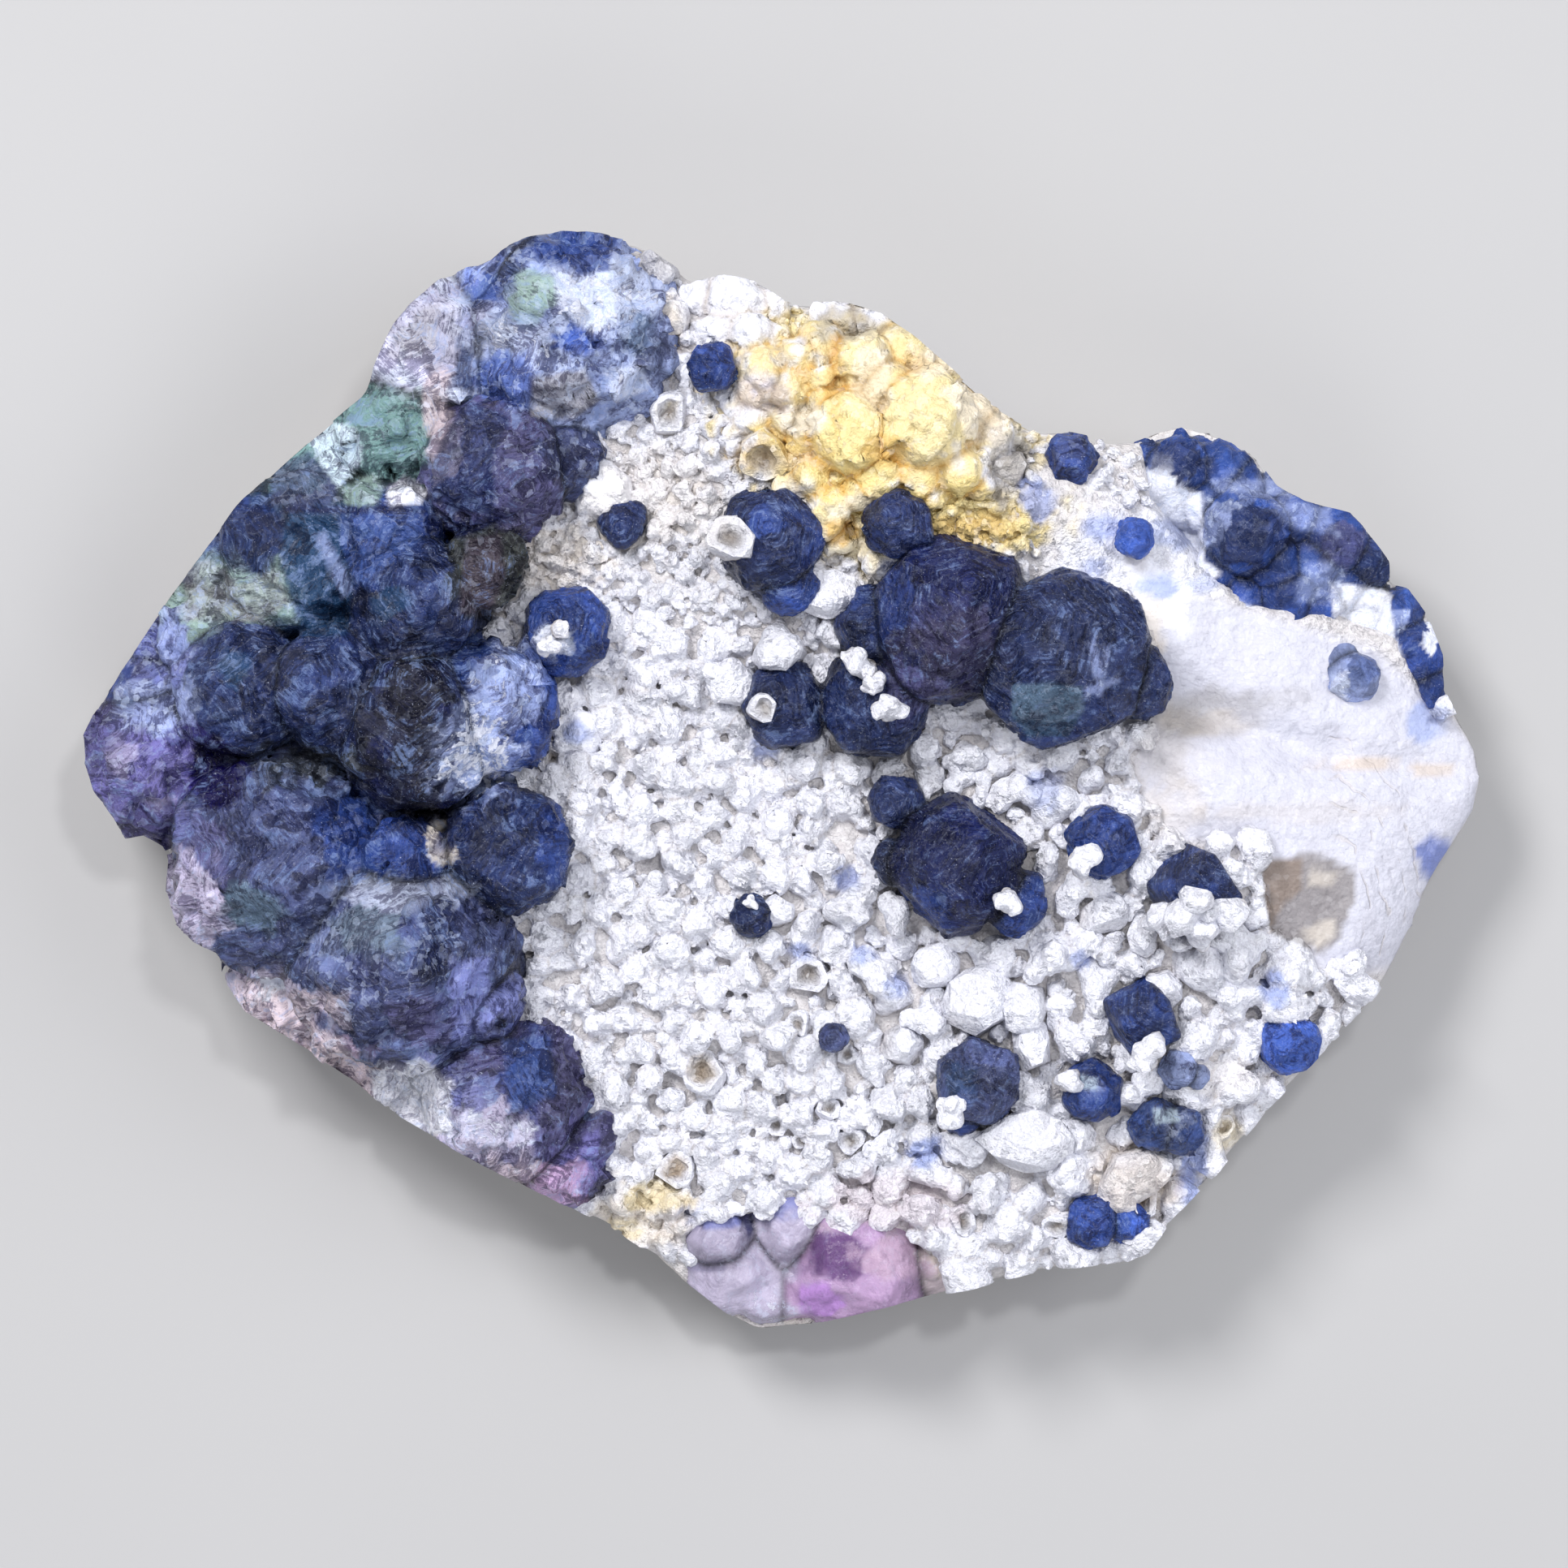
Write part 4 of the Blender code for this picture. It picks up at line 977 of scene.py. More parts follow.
RIGHT_SPOTS = [Spot(*row) for row in (
    (1456, 568, 44, 30, T.NAVY, 0.9), (1540, 660, 46, 52, T.NAVY, 0.9), (1655, 670, 30, 26, T.DUSK, 0.7),
    (1600, 780, 90, 14, T.FROST, 0.7, 0.8), (1540, 600, 40, 16, T.FROST, 0.5, 0.5),
    (1380, 590, 40, 30, T.FROST, 0.8, 0.8), (1705, 700, 24, 32, T.NAVY, 0.9),
    (1588, 733, 70, 26, T.BLUE, 0.8), (1762, 800, 34, 66, T.BLUE, 0.9),
    (1774, 782, 12, 20, T.WHITE, 0.9, 0.9), (1480, 640, 30, 24, T.HAZE_BLUE, 0.8, 0.6),
    (1610, 590, 30, 22, T.SLATE, 0.8), (1400, 610, 60, 46, T.WHITE, 0.8, 0.9),
    (1700, 770, 40, 22, T.FROST, 0.8, 0.7), (1500, 770, 60, 26, T.FROST, 0.9, 0.9),
)]
PURPLE_SPOTS = [Spot(*row) for row in (
    (885, 1541, 42, 36, T.LILAC, 0.85, 0.2), (885, 1506, 30, 10, T.PERIWINKLE, 0.8),
    (870, 1566, 30, 6, T.DUSK, 0.5), (956, 1485, 44, 26, T.PERIWINKLE, 0.8, 0.3),
    (952, 1545, 36, 40, T.LILAC, 0.9, 0.3), (1036, 1552, 54, 30, T.PLUM, 0.9),
    (1120, 1552, 60, 30, T.PINK, 0.8, 0.1), (1180, 1552, 40, 30, T.CREAM, 0.8, 0.3),
    (1010, 1606, 30, 20, T.VIOLET, 1.0), (930, 1620, 50, 24, T.LILAC, 0.9, 0.6),
    (1094, 1480, 90, 34, T.ROSE, 0.9, 0.5),
)]
CRYSTAL_SPOTS = [Spot(*row) for row in (
    (1170, 800, 60, 50, T.UMBER, 0.4), (1122, 854, 38, 36, T.DUSK, 0.6), (1090, 740, 34, 40, T.BLUE, 0.5),
    (1140, 1118, 30, 30, T.BLUE, 0.4), (686, 788, 26, 26, T.SNOW, 0.8, 0.9),
    (1345, 1338, 14, 14, T.FROST, 0.8, 0.5), (1440, 1390, 18, 12, T.FROST, 0.7, 0.5),
    (1682, 824, 22, 26, T.MID_BLUE, 0.7), (1652, 850, 12, 20, T.SNOW, 0.7, 0.8),
    (960, 640, 30, 22, T.BRIGHT_BLUE, 0.4), (1010, 690, 14, 60, T.BLUE, 0.6),
    (1312, 560, 20, 20, T.SLATE, 0.6, 0.2), (1180, 1330, 22, 24, T.TEAL, 0.6),
)]
# Patches on the quartz: its own stains and tints, with some painted shadows, marked where they stand.
QUARTZ_SPOTS_AND_SHADOWS = [Spot(*row) for row in (
    (1400, 690, 120, 74, T.WHITE, 0.95), (1560, 640, 120, 60, T.WHITE, 0.9),
    (1100, 500, 190, 120, T.YELLOW, 0.85), (1010, 560, 90, 60, T.YELLOW, 0.6),
    (1060, 640, 60, 70, T.YELLOW, 0.6), (960, 560, 60, 26, T.OCHRE, 0.35), (1085, 560, 30, 18, T.OCHRE, 0.6),
    (1210, 640, 100, 44, T.YELLOW, 0.9), (1190, 655, 60, 20, T.OCHRE, 0.45),
    (1240, 575, 28, 46, T.GREY, 0.8), (1075, 470, 26, 44, T.CREAM, 0.55), (1150, 450, 34, 20, T.CREAM, 0.6),
    (985, 520, 30, 20, T.WHITE, 0.5), (1040, 402, 46, 26, T.SMOKE, 0.6), (1110, 400, 40, 14, T.SMOKE, 0.3),
    (1037, 656, 18, 18, T.OCHRE, 0.8), (1210, 490, 40, 62, T.CREAM, 0.7), (945, 570, 20, 18, T.GREY, 0.6),
    (1030, 470, 12, 60, T.OCHRE, 0.5), (1130, 450, 26, 12, T.OCHRE, 0.4), (980, 400, 24, 20, T.YELLOW, 0.6),
    (1400, 690, 16, 12, T.BROWN, 0.3), (800, 330, 50, 28, T.SMOKE, 0.5), (822, 398, 20, 34, T.CREAM, 0.8),
    # Painted shadows: the brown patch at (826, 432) under the cream facet, and each grey, smoke and beige patch
    # on this line and the next two, in and beside the hollow of the smooth face.
    (826, 432, 24, 8, T.BROWN, 0.6), (1490, 880, 78, 28, T.GREY, 0.55), (1460, 884, 44, 24, T.SMOKE, 0.4),
    (1480, 890, 50, 16, T.BEIGE, 0.3), (1440, 905, 30, 56, T.GREY, 0.35), (1570, 862, 60, 12, T.GREY, 0.3),
    (1500, 1010, 60, 16, T.GREY, 0.22), (1640, 850, 50, 12, T.GREY, 0.2), (1440, 930, 40, 60, T.BEIGE, 0.22),
    (1416, 770, 20, 40, T.CREAM, 0.6), (1690, 941, 60, 6, T.TAN, 0.55), (1770, 948, 40, 8, T.TAN, 0.5),
    (1774, 1056, 24, 26, T.BRIGHT_BLUE, 0.75), (1762, 890, 24, 22, T.HAZE_BLUE, 0.8),
    (1770, 884, 10, 8, T.SLATE, 0.5), (1600, 1000, 120, 14, T.BEIGE, 0.22),
    # Painted shadow: the beige patch at (1440, 1000) at the start of this line, on the smooth face.
    (1440, 1000, 40, 40, T.BEIGE, 0.25), (712, 901, 18, 16, T.BLUSH, 0.7), (941, 921, 20, 14, T.BLUSH, 0.7),
    (985, 1170, 14, 12, T.BLUSH, 0.7), (1064, 1178, 16, 12, T.BLUSH, 0.7),
    (1104, 1214, 16, 14, T.BLUSH, 0.7), (1044, 1083, 16, 14, T.BLUSH, 0.7),
    (1140, 1420, 20, 22, T.BLUSH, 0.8), (1277, 619, 24, 28, T.BLUSH, 0.8), (940, 490, 34, 26, T.LILAC, 0.5),
    (1572, 1215, 20, 22, T.BLUSH, 0.8), (1286, 970, 24, 24, T.BLUSH, 0.5),
    (1452, 655, 36, 20, T.HAZE_BLUE, 0.7), (1425, 722, 22, 14, T.BLUSH, 0.8),
    (1360, 650, 26, 16, T.BLUSH, 0.7), (1500, 600, 26, 18, T.HAZE_BLUE, 0.6),
    (1350, 700, 16, 12, T.BLUSH, 0.6), (1480, 720, 20, 12, T.BLUSH, 0.5), (1330, 1180, 12, 12, T.BLUSH, 0.7),
    (1470, 1430, 16, 60, T.BLUSH, 0.8), (830, 1498, 30, 16, T.BLUSH, 0.5), (787, 1500, 60, 40, T.CREAM, 0.7),
    (805, 1475, 40, 22, T.YELLOW, 0.5), (760, 1520, 30, 16, T.YELLOW, 0.4),
    (1400, 1454, 56, 44, T.TAN, 0.45), (867, 1321, 20, 22, T.BEIGE, 0.6), (831, 1443, 16, 14, T.TAN, 0.6),
    (1517, 1397, 18, 20, T.YELLOW, 0.35), (1094, 1480, 90, 34, T.ROSE, 0.5),
    (680, 690, 60, 40, T.CREAM, 0.5), (800, 620, 90, 60, T.CREAM, 0.35), (1660, 1440, 90, 60, T.CREAM, 0.5),
    (1500, 1330, 60, 20, T.CREAM, 0.3),
)] + [Patch(*row) for row in (
    (((1556, 1073), (1568, 1061), (1602, 1053), (1631, 1053), (1670, 1073), (1670, 1111), (1651, 1160),
    (1626, 1174), (1568, 1150), (1559, 1116)), T.ASH, 0.85), (((1556, 1073), (1568, 1061), (1607, 1058),
    (1602, 1097), (1578, 1116), (1568, 1145), (1559, 1116)), T.BROWN, 0.6), (((1612, 1070), (1650, 1076),
    (1640, 1096), (1612, 1090)), T.CREAM, 0.35), (((1600, 1150), (1640, 1130), (1652, 1150), (1626, 1168)),
    T.CREAM, 0.4),
)]


class Terrain:
    """Heights of the quartz, and of the crystals that stand on it, in millimetres."""

    crease = [(22.5, 5.5), (28, 3.6), (34, 1.8), (42, 1.0)]
    crease_depths = (1.7, 1.1, 0.5)
    crease_widths = (1.9, 1.3, 0.8)
    rim_round = 4.5
    nothing = -100.0

    def quartz(self, points: np.ndarray) -> np.ndarray:
        """Gives the height of the quartz under the grains.

        Args:
            points: Places, of which x and y are read.

        Returns:
            The height at each place.
        """
        x, y = points[:, 0], points[:, 1]
        top = np.full(len(points), QUARTZ_LEVEL)
        for rise_x, rise_y, spread, height in RISES:
            top += height * np.exp(-((x - rise_x) ** 2 + (y - rise_y) ** 2) / (2 * spread ** 2))
        flat = np.column_stack([x, y, np.zeros(len(x))])
        on_face = smooth(-0.5, 1.5, edge_distance(flat, SMOOTH_FACE)[0])
        broken = 0.55 * rough(flat, 3.4) + 0.2 * rough(flat, 1.3)
        even = 0.50 * rough(flat, 4.2, 3.0) + 0.16 * rough(flat, 1.4, 6.0)
        top += (1 - on_face) * broken + on_face * even
        top -= on_face * self._crease_depth(flat)
        for bed, floor in ((LEFT_BED, LEFT_FLOOR), (RIGHT_BED, RIGHT_FLOOR), (PURPLE_BED, PURPLE_FLOOR)):
            inside = smooth(0.1, 1.4, edge_distance(flat, bed)[0])
            top += inside * (np.minimum(top, floor) - top)
        gap = np.clip(edge_distance(flat, OUTLINE)[0] / self.rim_round, 0, 1)
        return WIDEST_Z + (top - WIDEST_Z) * (0.18 + 0.82 * np.sqrt(1 - (1 - gap) ** 2))

    def _crease_depth(self, flat: np.ndarray) -> np.ndarray:
        """Gives the depth of the crease that crosses the smooth face.

        Args:
            flat: Places, of which x and y are read.

        Returns:
            The depth at each place.
        """
        depth = np.zeros(len(flat))
        stretches = zip(self.crease, self.crease[1:], self.crease_depths, self.crease_widths)
        for (x0, y0), (x1, y1), deep, wide in stretches:
            run = np.array([x1 - x0, y1 - y0])
            away = flat[:, :2] - (x0, y0)
            share = np.clip(away @ run / (run @ run), 0, 1)
            gap = np.linalg.norm(away - share[:, None] * run, axis=1)
            depth = np.maximum(depth, deep * np.exp(-((gap / wide) ** 2)))
        return depth

    def crystals(self, points: np.ndarray) -> np.ndarray:
        """Gives the height of the crystals' upper skin, far below the stone where there are none.

        Args:
            points: Places, of which x and y are read.

        Returns:
            The height at each place.
        """
        top = np.full(len(points), self.nothing)
        for cube in CORNERS.values():
            reach = np.hypot(points[:, 0] - cube.x, points[:, 1] - cube.y) / (cube.edge * 0.75)
            roof = cube.z + cube.edge * 0.75 * (1 - reach * 0.8)
            top = np.maximum(top, np.where(reach < 1, roof, self.nothing))
        lobes = [lobe for group in CRYSTALS.values() for lobe in group]
        for lobe in lobes + LEFT_LOBES + RIGHT_LOBES + PURPLE_LOBES:
            inside = lobe.radius ** 2 - (points[:, 0] - lobe.x) ** 2 - (points[:, 1] - lobe.y) ** 2
            roof = lobe.z + np.sqrt(np.maximum(inside, 0)) * 0.95
            top = np.maximum(top, np.where(inside > 0, roof, self.nothing))
        return top


TERRAIN = Terrain()


@dataclass
class QuartzBlock:
    """The broken block of quartz that carries everything."""

    name: str = "quartz_stone"
    levels: tuple = ((0.0, 0.93), (3.0, 0.98), (6.5, 1.0), (10.5, 1.0))
    voxel: float = 0.42
    wall_lumps: float = 0.45
    window_middle: tuple = (1625, 1125)
    crack_rings: tuple = (2.6, 3.4, 6.4, 7.6)

    def build(self, finish: bpy.types.Material) -> bpy.types.Object:
        """Models and paints the block.

        Args:
            finish: Its material.

        Returns:
            The piece.
        """
        piece = self._block()
        Bench.finish_with(piece, "REMESH", mode="VOXEL", voxel_size=self.voxel * MM)
        self._relief(piece)
        self._paint(piece)
        Bench.dress(piece, finish)
        return piece

    def _block(self) -> bpy.types.Object:
        """Extrudes the outline up through its levels.

        Returns:
            The block, before its relief.
        """
        Bench.pick()
        bpy.ops.mesh.primitive_circle_add(vertices=len(OUTLINE), radius=0.04, fill_type="NGON")
        piece = bpy.context.object
        piece.name = piece.data.name = self.name
        start = self.levels[0][1]
        Bench.place(piece, np.array([(x * start, y * start, 0.0) for x, y in reversed(OUTLINE)]))
        bpy.ops.object.mode_set(mode="EDIT")
        bpy.ops.mesh.select_all(action="SELECT")
        for (low, narrow), (high, wide) in zip(self.levels, self.levels[1:]):
            bpy.ops.mesh.extrude_region_move(TRANSFORM_OT_translate={"value": (0, 0, (high - low) * MM)})
            share = wide / narrow
            bpy.ops.transform.resize(value=(share, share, 1), center_override=(0, 0, 0))
        bpy.ops.mesh.select_all(action="SELECT")
        bpy.ops.mesh.normals_make_consistent(inside=False)
        bpy.ops.object.mode_set(mode="OBJECT")
        return piece

    def _relief(self, piece: bpy.types.Object) -> None:
        """Raises the top to the terrain and roughens the broken walls.

        Args:
            piece: The block.
        """
        points, outward = Bench.points(piece), Bench.points(piece, "normal")
        base, top = points[:, 2] < 0.05, self.levels[-1][0]
        rise = np.clip((points[:, 2] - WIDEST_Z) / (top - WIDEST_Z), 0, 1)
        wall = np.clip(1 - np.abs(outward[:, 2]), 0, 1) * (1 - rise * 0.7)
        lumps = rough(points, 3.6) * 0.9 + rough(points, 1.4, 5.0) * 0.5
        lumps = lumps + np.abs(rough(points, 6.0, 8.0)) * 0.7
        points += outward * (wall * self.wall_lumps * (lumps - 0.7))[:, None]
        high = points[:, 2] > WIDEST_Z
        points[:, 2] = np.where(high, WIDEST_Z + rise * (TERRAIN.quartz(points) - WIDEST_Z), points[:, 2])
        points[:, 2] = np.where(base, 0.0, np.maximum(points[:, 2], 0.0))
        Bench.place(piece, points)

    def _paint(self, piece: bpy.types.Object) -> None:
        """Colours the quartz: white above, beige in the crevices as a stain with painted shade, painted shadows
        on the smooth face, greyer where it broke.

        Args:
            piece: The block.
        """
        points = Bench.points(piece)
        flat = points * (1, 1, 0)
        on_face = smooth(-0.3, 0.8, edge_distance(flat, SMOOTH_FACE)[0])[:, None]
        white = stained(T.FACE_WHITE)
        # Beige under the grains: a stain with painted shade for the gaps between them.
        bed = stained(T.WHITE) * 0.55 + stained(T.BEIGE) * 0.45
        broken = stained(T.GREY) * 0.3 + stained(T.CREAM) * 0.7
        side = smooth(WIDEST_Z + 0.9, WIDEST_Z - 0.9, points[:, 2] + 0.6 * rough(points, 2.0, 9.0))[:, None]
        veil = smooth(0.0, 0.5, rough(points, 7.0, 20.0))[:, None] * 0.5
        colour = bed * (1 - on_face) + white * on_face
        colour = paint(points, np.broadcast_to(colour, (len(points), 4)), QUARTZ_SPOTS_AND_SHADOWS)
        colour = colour * (1 - side) + (broken * (1 - veil) + stained(T.LILAC) * veil * 0.8) * side
        window = np.array([*to_mm(*self.window_middle), 0.0])
        from_window = np.linalg.norm((flat - window) * (1.0, 0.62, 0.0), axis=1)
        nearest, near, far, farthest = self.crack_rings
        cracked = smooth(nearest, near, from_window) * smooth(farthest, far, from_window)
        cracked = cracked * smooth(0.0, 1.2, flat[:, 0] - window[0])
        colour[:, 3] = (on_face[:, 0] + cracked * smooth(0.5, 1.0, on_face[:, 0])) * (1 - side[:, 0])
        Bench.stain(piece, colour, from_window)


class Shape(Enum):
    """Shapes of quartz grains."""

    GRAIN = "grain"
    KNOB = "knob"
    DOME = "dome"
    LENS = "lens"
    HOLLOW = "hollow"


@dataclass(frozen=True)
class Grain:
    """A quartz grain: middle in pixels of the picture, radius in pixels, shape, and how far it stands out."""

    x: float
    y: float
    radius: float
    shape: Shape = Shape.GRAIN
    lift: float = 0.3


S = Shape
# Rounded grains of the ridge and the rim, which grow together: x and y in pixels, radius in pixels, and lift
DOMES = [Grain(x, y, radius, S.DOME, lift) for x, y, radius, lift in (
    (1060, 450, 34, 0.2), (1150, 455, 34, 0.1), (1010, 430, 26, 0.3), (1100, 550, 24, 0.3),
    (1000, 540, 26, 0.3), (975, 600, 20, 0.3), (1060, 610, 22, 0.3), (1130, 590, 26, 0.3),
    (1190, 525, 34, 0.2), (1165, 560, 24, 0.3), (1225, 510, 30, 0.0), (1050, 575, 16, 0.6),
    (1100, 625, 20, 0.3), (1010, 465, 18, 0.3), (1055, 490, 16, 0.3), (965, 520, 20, 0.3),
    (1040, 665, 18, 0.3), (1150, 610, 18, 0.3), (1205, 600, 20, 0.3), (915, 450, 20, 0.3),
    (1045, 537, 45, 0.5), (1140, 521, 55, 0.5), (986, 446, 26, 0.3), (966, 478, 30, 0.3),
    (1021, 628, 27, 0.5), (1070, 400, 40, 0.2), (1110, 440, 36, 0.2), (1030, 400, 30, 0.2),
    (1090, 480, 30, 0.3), (1020, 500, 22, 0.3), (1000, 590, 24, 0.3), (1085, 590, 26, 0.3),
    (1180, 580, 30, 0.3), (1190, 470, 34, 0.1), (1215, 545, 34, 0.1), (930, 520, 22, 0.3),
    (900, 545, 20, 0.3), (905, 375, 34, 0.3), (870, 370, 26, 0.3), (946, 380, 26, 0.3), (890, 415, 24, 0.3),
    (925, 415, 26, 0.3), (955, 420, 20, 0.3), (944, 470, 36, 0.3), (840, 452, 20, 0.5), (905, 500, 18, 0.3),
    (743, 603, 34, 0.5), (710, 905, 28, 0.4),
)]
# Grains that stand out one by one
GRAINS = [Grain(*row) for row in (
    (943, 563, 34, S.HOLLOW, 0.3), (1085, 690, 32, S.KNOB, 0.5), (1240, 580, 24, S.GRAIN, 0.2),
    (805, 328, 34, S.KNOB, 0.1), (772, 340, 24, S.KNOB, 0.1), (830, 395, 26, S.GRAIN, 0.3),
    (825, 512, 26, S.HOLLOW, 0.3), (901, 668, 29, S.HOLLOW, 0.6), (1012, 732, 36, S.LENS, 0.5),
    (958, 792, 36, S.KNOB, 0.5), (899, 836, 32, S.KNOB, 0.4), (990, 715, 26, S.KNOB, 0.5),
    (1094, 872, 22, S.KNOB, 0.9), (1055, 820, 22, S.KNOB, 0.8), (1076, 845, 18, S.KNOB, 0.8),
    (940, 874, 20, S.HOLLOW, 0.6), (1240, 1108, 18, S.KNOB, 0.9), (1331, 1058, 24, S.KNOB, 0.9),
    (1310, 1035, 18, S.KNOB, 0.6), (1468, 1106, 19, S.GRAIN, 0.8), (1452, 1130, 25, S.GRAIN, 0.8),
    (1484, 1128, 20, S.KNOB, 0.8), (1428, 1136, 22, S.KNOB, 0.8), (1450, 1156, 22, S.KNOB, 0.8),
    (1506, 1152, 24, S.GRAIN, 0.7), (1512, 1124, 25, S.GRAIN, 0.8), (1476, 1150, 26, S.KNOB, 0.8),
    (1412, 1150, 22, S.KNOB, 0.6), (1408, 1296, 24, S.KNOB, 0.8), (1390, 1300, 22, S.KNOB, 0.6),
    (1418, 1330, 24, S.KNOB, 0.5), (1392, 1348, 26, S.KNOB, 0.6), (1172, 1366, 24, S.KNOB, 0.7),
    (1318, 1328, 16, S.KNOB, 0.6), (924, 1112, 10, S.KNOB, 0.9), (958, 1122, 22, S.GRAIN, 0.5),
    (1258, 1406, 46, S.LENS, 0.5), (1205, 1235, 44, S.GRAIN, 0.4), (1150, 1190, 34, S.GRAIN),
    (1263, 1240, 36, S.GRAIN), (996, 1200, 30, S.HOLLOW, 0.3), (985, 1261, 15, S.HOLLOW),
    (1044, 1301, 14, S.HOLLOW), (1020, 1368, 14, S.HOLLOW), (957, 1388, 14, S.HOLLOW),
    (989, 1407, 14, S.HOLLOW), (1052, 1407, 18, S.HOLLOW), (867, 1321, 28, S.HOLLOW),
    (831, 1443, 26, S.HOLLOW), (1186, 1505, 18, S.HOLLOW), (1306, 1510, 18, S.HOLLOW),
    (1510, 1392, 14, S.HOLLOW, 0.1), (1394, 1448, 40, S.GRAIN, 0.1), (1425, 1440, 24, S.GRAIN, 0.3),
    (1372, 1476, 26, S.KNOB, 0.2), (1410, 1484, 22, S.HOLLOW, 0.2), (1100, 1225, 36, S.KNOB),
    (1050, 1120, 38, S.KNOB), (1350, 1215, 34, S.KNOB), (1480, 1195, 40, S.KNOB), (1530, 1170, 38, S.KNOB),
    (1240, 975, 30, S.KNOB), (1290, 985, 34, S.KNOB), (1340, 960, 22, S.KNOB), (1190, 930, 26, S.KNOB),
    (676, 796, 15, S.KNOB, 1.0), (692, 778, 12, S.KNOB, 1.0), (680, 930, 22, S.HOLLOW, 0.3),
    (1430, 1215, 26, S.GRAIN), (1270, 1290, 34, S.GRAIN), (1330, 1400, 28, S.GRAIN),
    (1110, 1290, 30, S.GRAIN), (1080, 1200, 30, S.KNOB), (1360, 1125, 30, S.GRAIN), (1180, 960, 20, S.KNOB),
)]


@dataclass
class Druse:
    """The quartz grains, strewn over the block and placed one by one where they stand out."""

    seed: int = 5
    tries: int = 60000
    crowding: float = 0.74
    crease_angle: float = 28.0
    knob_share: float = 0.65
    cell: float = 2.0
    coarse_voxel: float = 0.18
    seam_width: float = 0.08
    voxels: dict = field(default_factory=lambda: {
        "druse_fine": 0.16, "druse_middle": 0.21, "druse_coarse": 0.24, "yellow_botryoids": 0.16,
    })
    patterns: dict = field(default_factory=dict)

    def model_patterns(self) -> None:
        """Models each shape of grain once, in a few versions, about a millimetre in radius."""
        draw = random.Random(self.seed)
        for shape in Shape:
            versions = 2 if shape is S.LENS else 4
            self.patterns[shape] = [self._read(self._model(shape, draw)) for _ in range(versions)]

    def _model(self, shape: Shape, draw: random.Random) -> bpy.types.Object:
        """Models one pattern grain at the origin.

        Args:
            shape: The grain's shape.
            draw: Source of its facets.

        Returns:
            The pattern.
        """
        cuts = [self._cut(draw, 0.62, 0.86) for _ in range(9)]
        if shape in (S.GRAIN, S.LENS):
            piece = Bench.ball((0, 0, 0), 1.0, 2)
            Bench.facet(piece, cuts)
        elif shape is S.KNOB:
            knobs = [Bench.ball(any_direction(draw) * 0.62, draw.uniform(0.30, 0.56), 2) for _ in range(9)]
            knobs.append(Bench.ball((0, 0, 0), 0.6, 2))
            piece = Bench.join(knobs, "knob")
            Bench.finish_with(piece, "REMESH", mode="VOXEL", voxel_size=0.14 * MM)
            Bench.finish_with(piece, "DECIMATE", ratio=0.25)
        elif shape is S.DOME:
            piece = Bench.ball((0, 0, 0), 1.0, 3)
            Bench.facet(piece, [self._cut(draw, 0.86, 0.97) for _ in range(7)])
        else:
            piece = Bench.ball((0, 0, 0), 1.0, 3)
            turns = (place * 1.05 + draw.uniform(-0.35, 0.35) for place in range(6))
            sides = [
                Vector((math.cos(turn), math.sin(turn), draw.uniform(-0.4, 0.3))).normalized()
                for turn in turns
            ]
            cuts = [(side * draw.uniform(0.70, 0.92), side) for side in sides]
            cuts.append((Vector((0, 0, 0.42)), Vector((draw.uniform(-0.3, 0.3), 0.1, 1)).normalized()))
            Bench.facet(piece, cuts)
            self._hollow(piece)
        return piece

    @staticmethod
    def _hollow(piece: bpy.types.Object) -> None:
        """Insets the broken top and pushes it in.

        Args:
            piece: The pattern of a hollow grain.
        """
        Bench.pick(piece)
        bpy.ops.object.mode_set(mode="EDIT")
        bpy.ops.mesh.select_mode(type="FACE")
        bpy.ops.mesh.select_all(action="DESELECT")
        edit = bmesh.from_edit_mesh(piece.data)
        top = max(edit.faces, key=lambda face: face.calc_area())
        middle = top.calc_center_median()
        top.select_set(True)
        bmesh.update_edit_mesh(piece.data)
        for narrow, drop in ((0.62, 0.04), (0.84, -0.16), (0.66, -0.14), (0.5, -0.04)):
            bpy.ops.mesh.extrude_region_move(TRANSFORM_OT_translate={"value": (0, 0, drop * MM)})
            bpy.ops.transform.resize(value=(narrow, narrow, 1), center_override=tuple(middle))
        bpy.ops.mesh.select_mode(type="VERT")
        bpy.ops.object.mode_set(mode="OBJECT")

    def _cut(self, draw: random.Random, low: float, high: float) -> tuple[Vector, Vector]:
        """Draws a facet of a grain."""
        outward = any_direction(draw)
        return outward * draw.uniform(low, high), outward

    @staticmethod
    def _read(piece: bpy.types.Object) -> tuple[np.ndarray, np.ndarray]:
        """Takes a pattern's points and triangles, and clears the pattern away.

        Args:
            piece: The pattern.

        Returns:
            Its points in millimetres and the corners of its triangles.
        """
        Bench.finish_with(piece, "TRIANGULATE")
        points = Bench.points(piece)
        corners = np.empty(len(piece.data.polygons) * 3, dtype=np.int32)
        piece.data.polygons.foreach_get("vertices", corners)
        mesh = piece.data
        bpy.data.objects.remove(piece)
        bpy.data.meshes.remove(mesh)
        return points, corners.reshape(-1, 3)

    @staticmethod
    def _coarse(x: float, y: float) -> tuple[float, float]:
        """Gives the smallest and largest radius of the grains at a place, in millimetres.

        Args:
            x: Millimetres to the right.
            y: Millimetres up.

        Returns:
            Both radii.
        """
        if y > 9 - 0.2 * x and x < 3:
            low, high = 0.28, 0.78
        elif x > 2 and y > 10:
            low, high = 0.26, 0.66
        elif x > 10 and y < -5:
            low, high = 0.7, 1.8
        elif x > 3 and y < 4:
            low, high = 0.6, 1.5
        else:
            low, high = 0.5, 1.35
        return low, high

    def _box(self, x: float, y: float) -> tuple[int, int]:
        """Gives the box of the search grid that a place falls in."""
        return int(x // self.cell), int(y // self.cell)

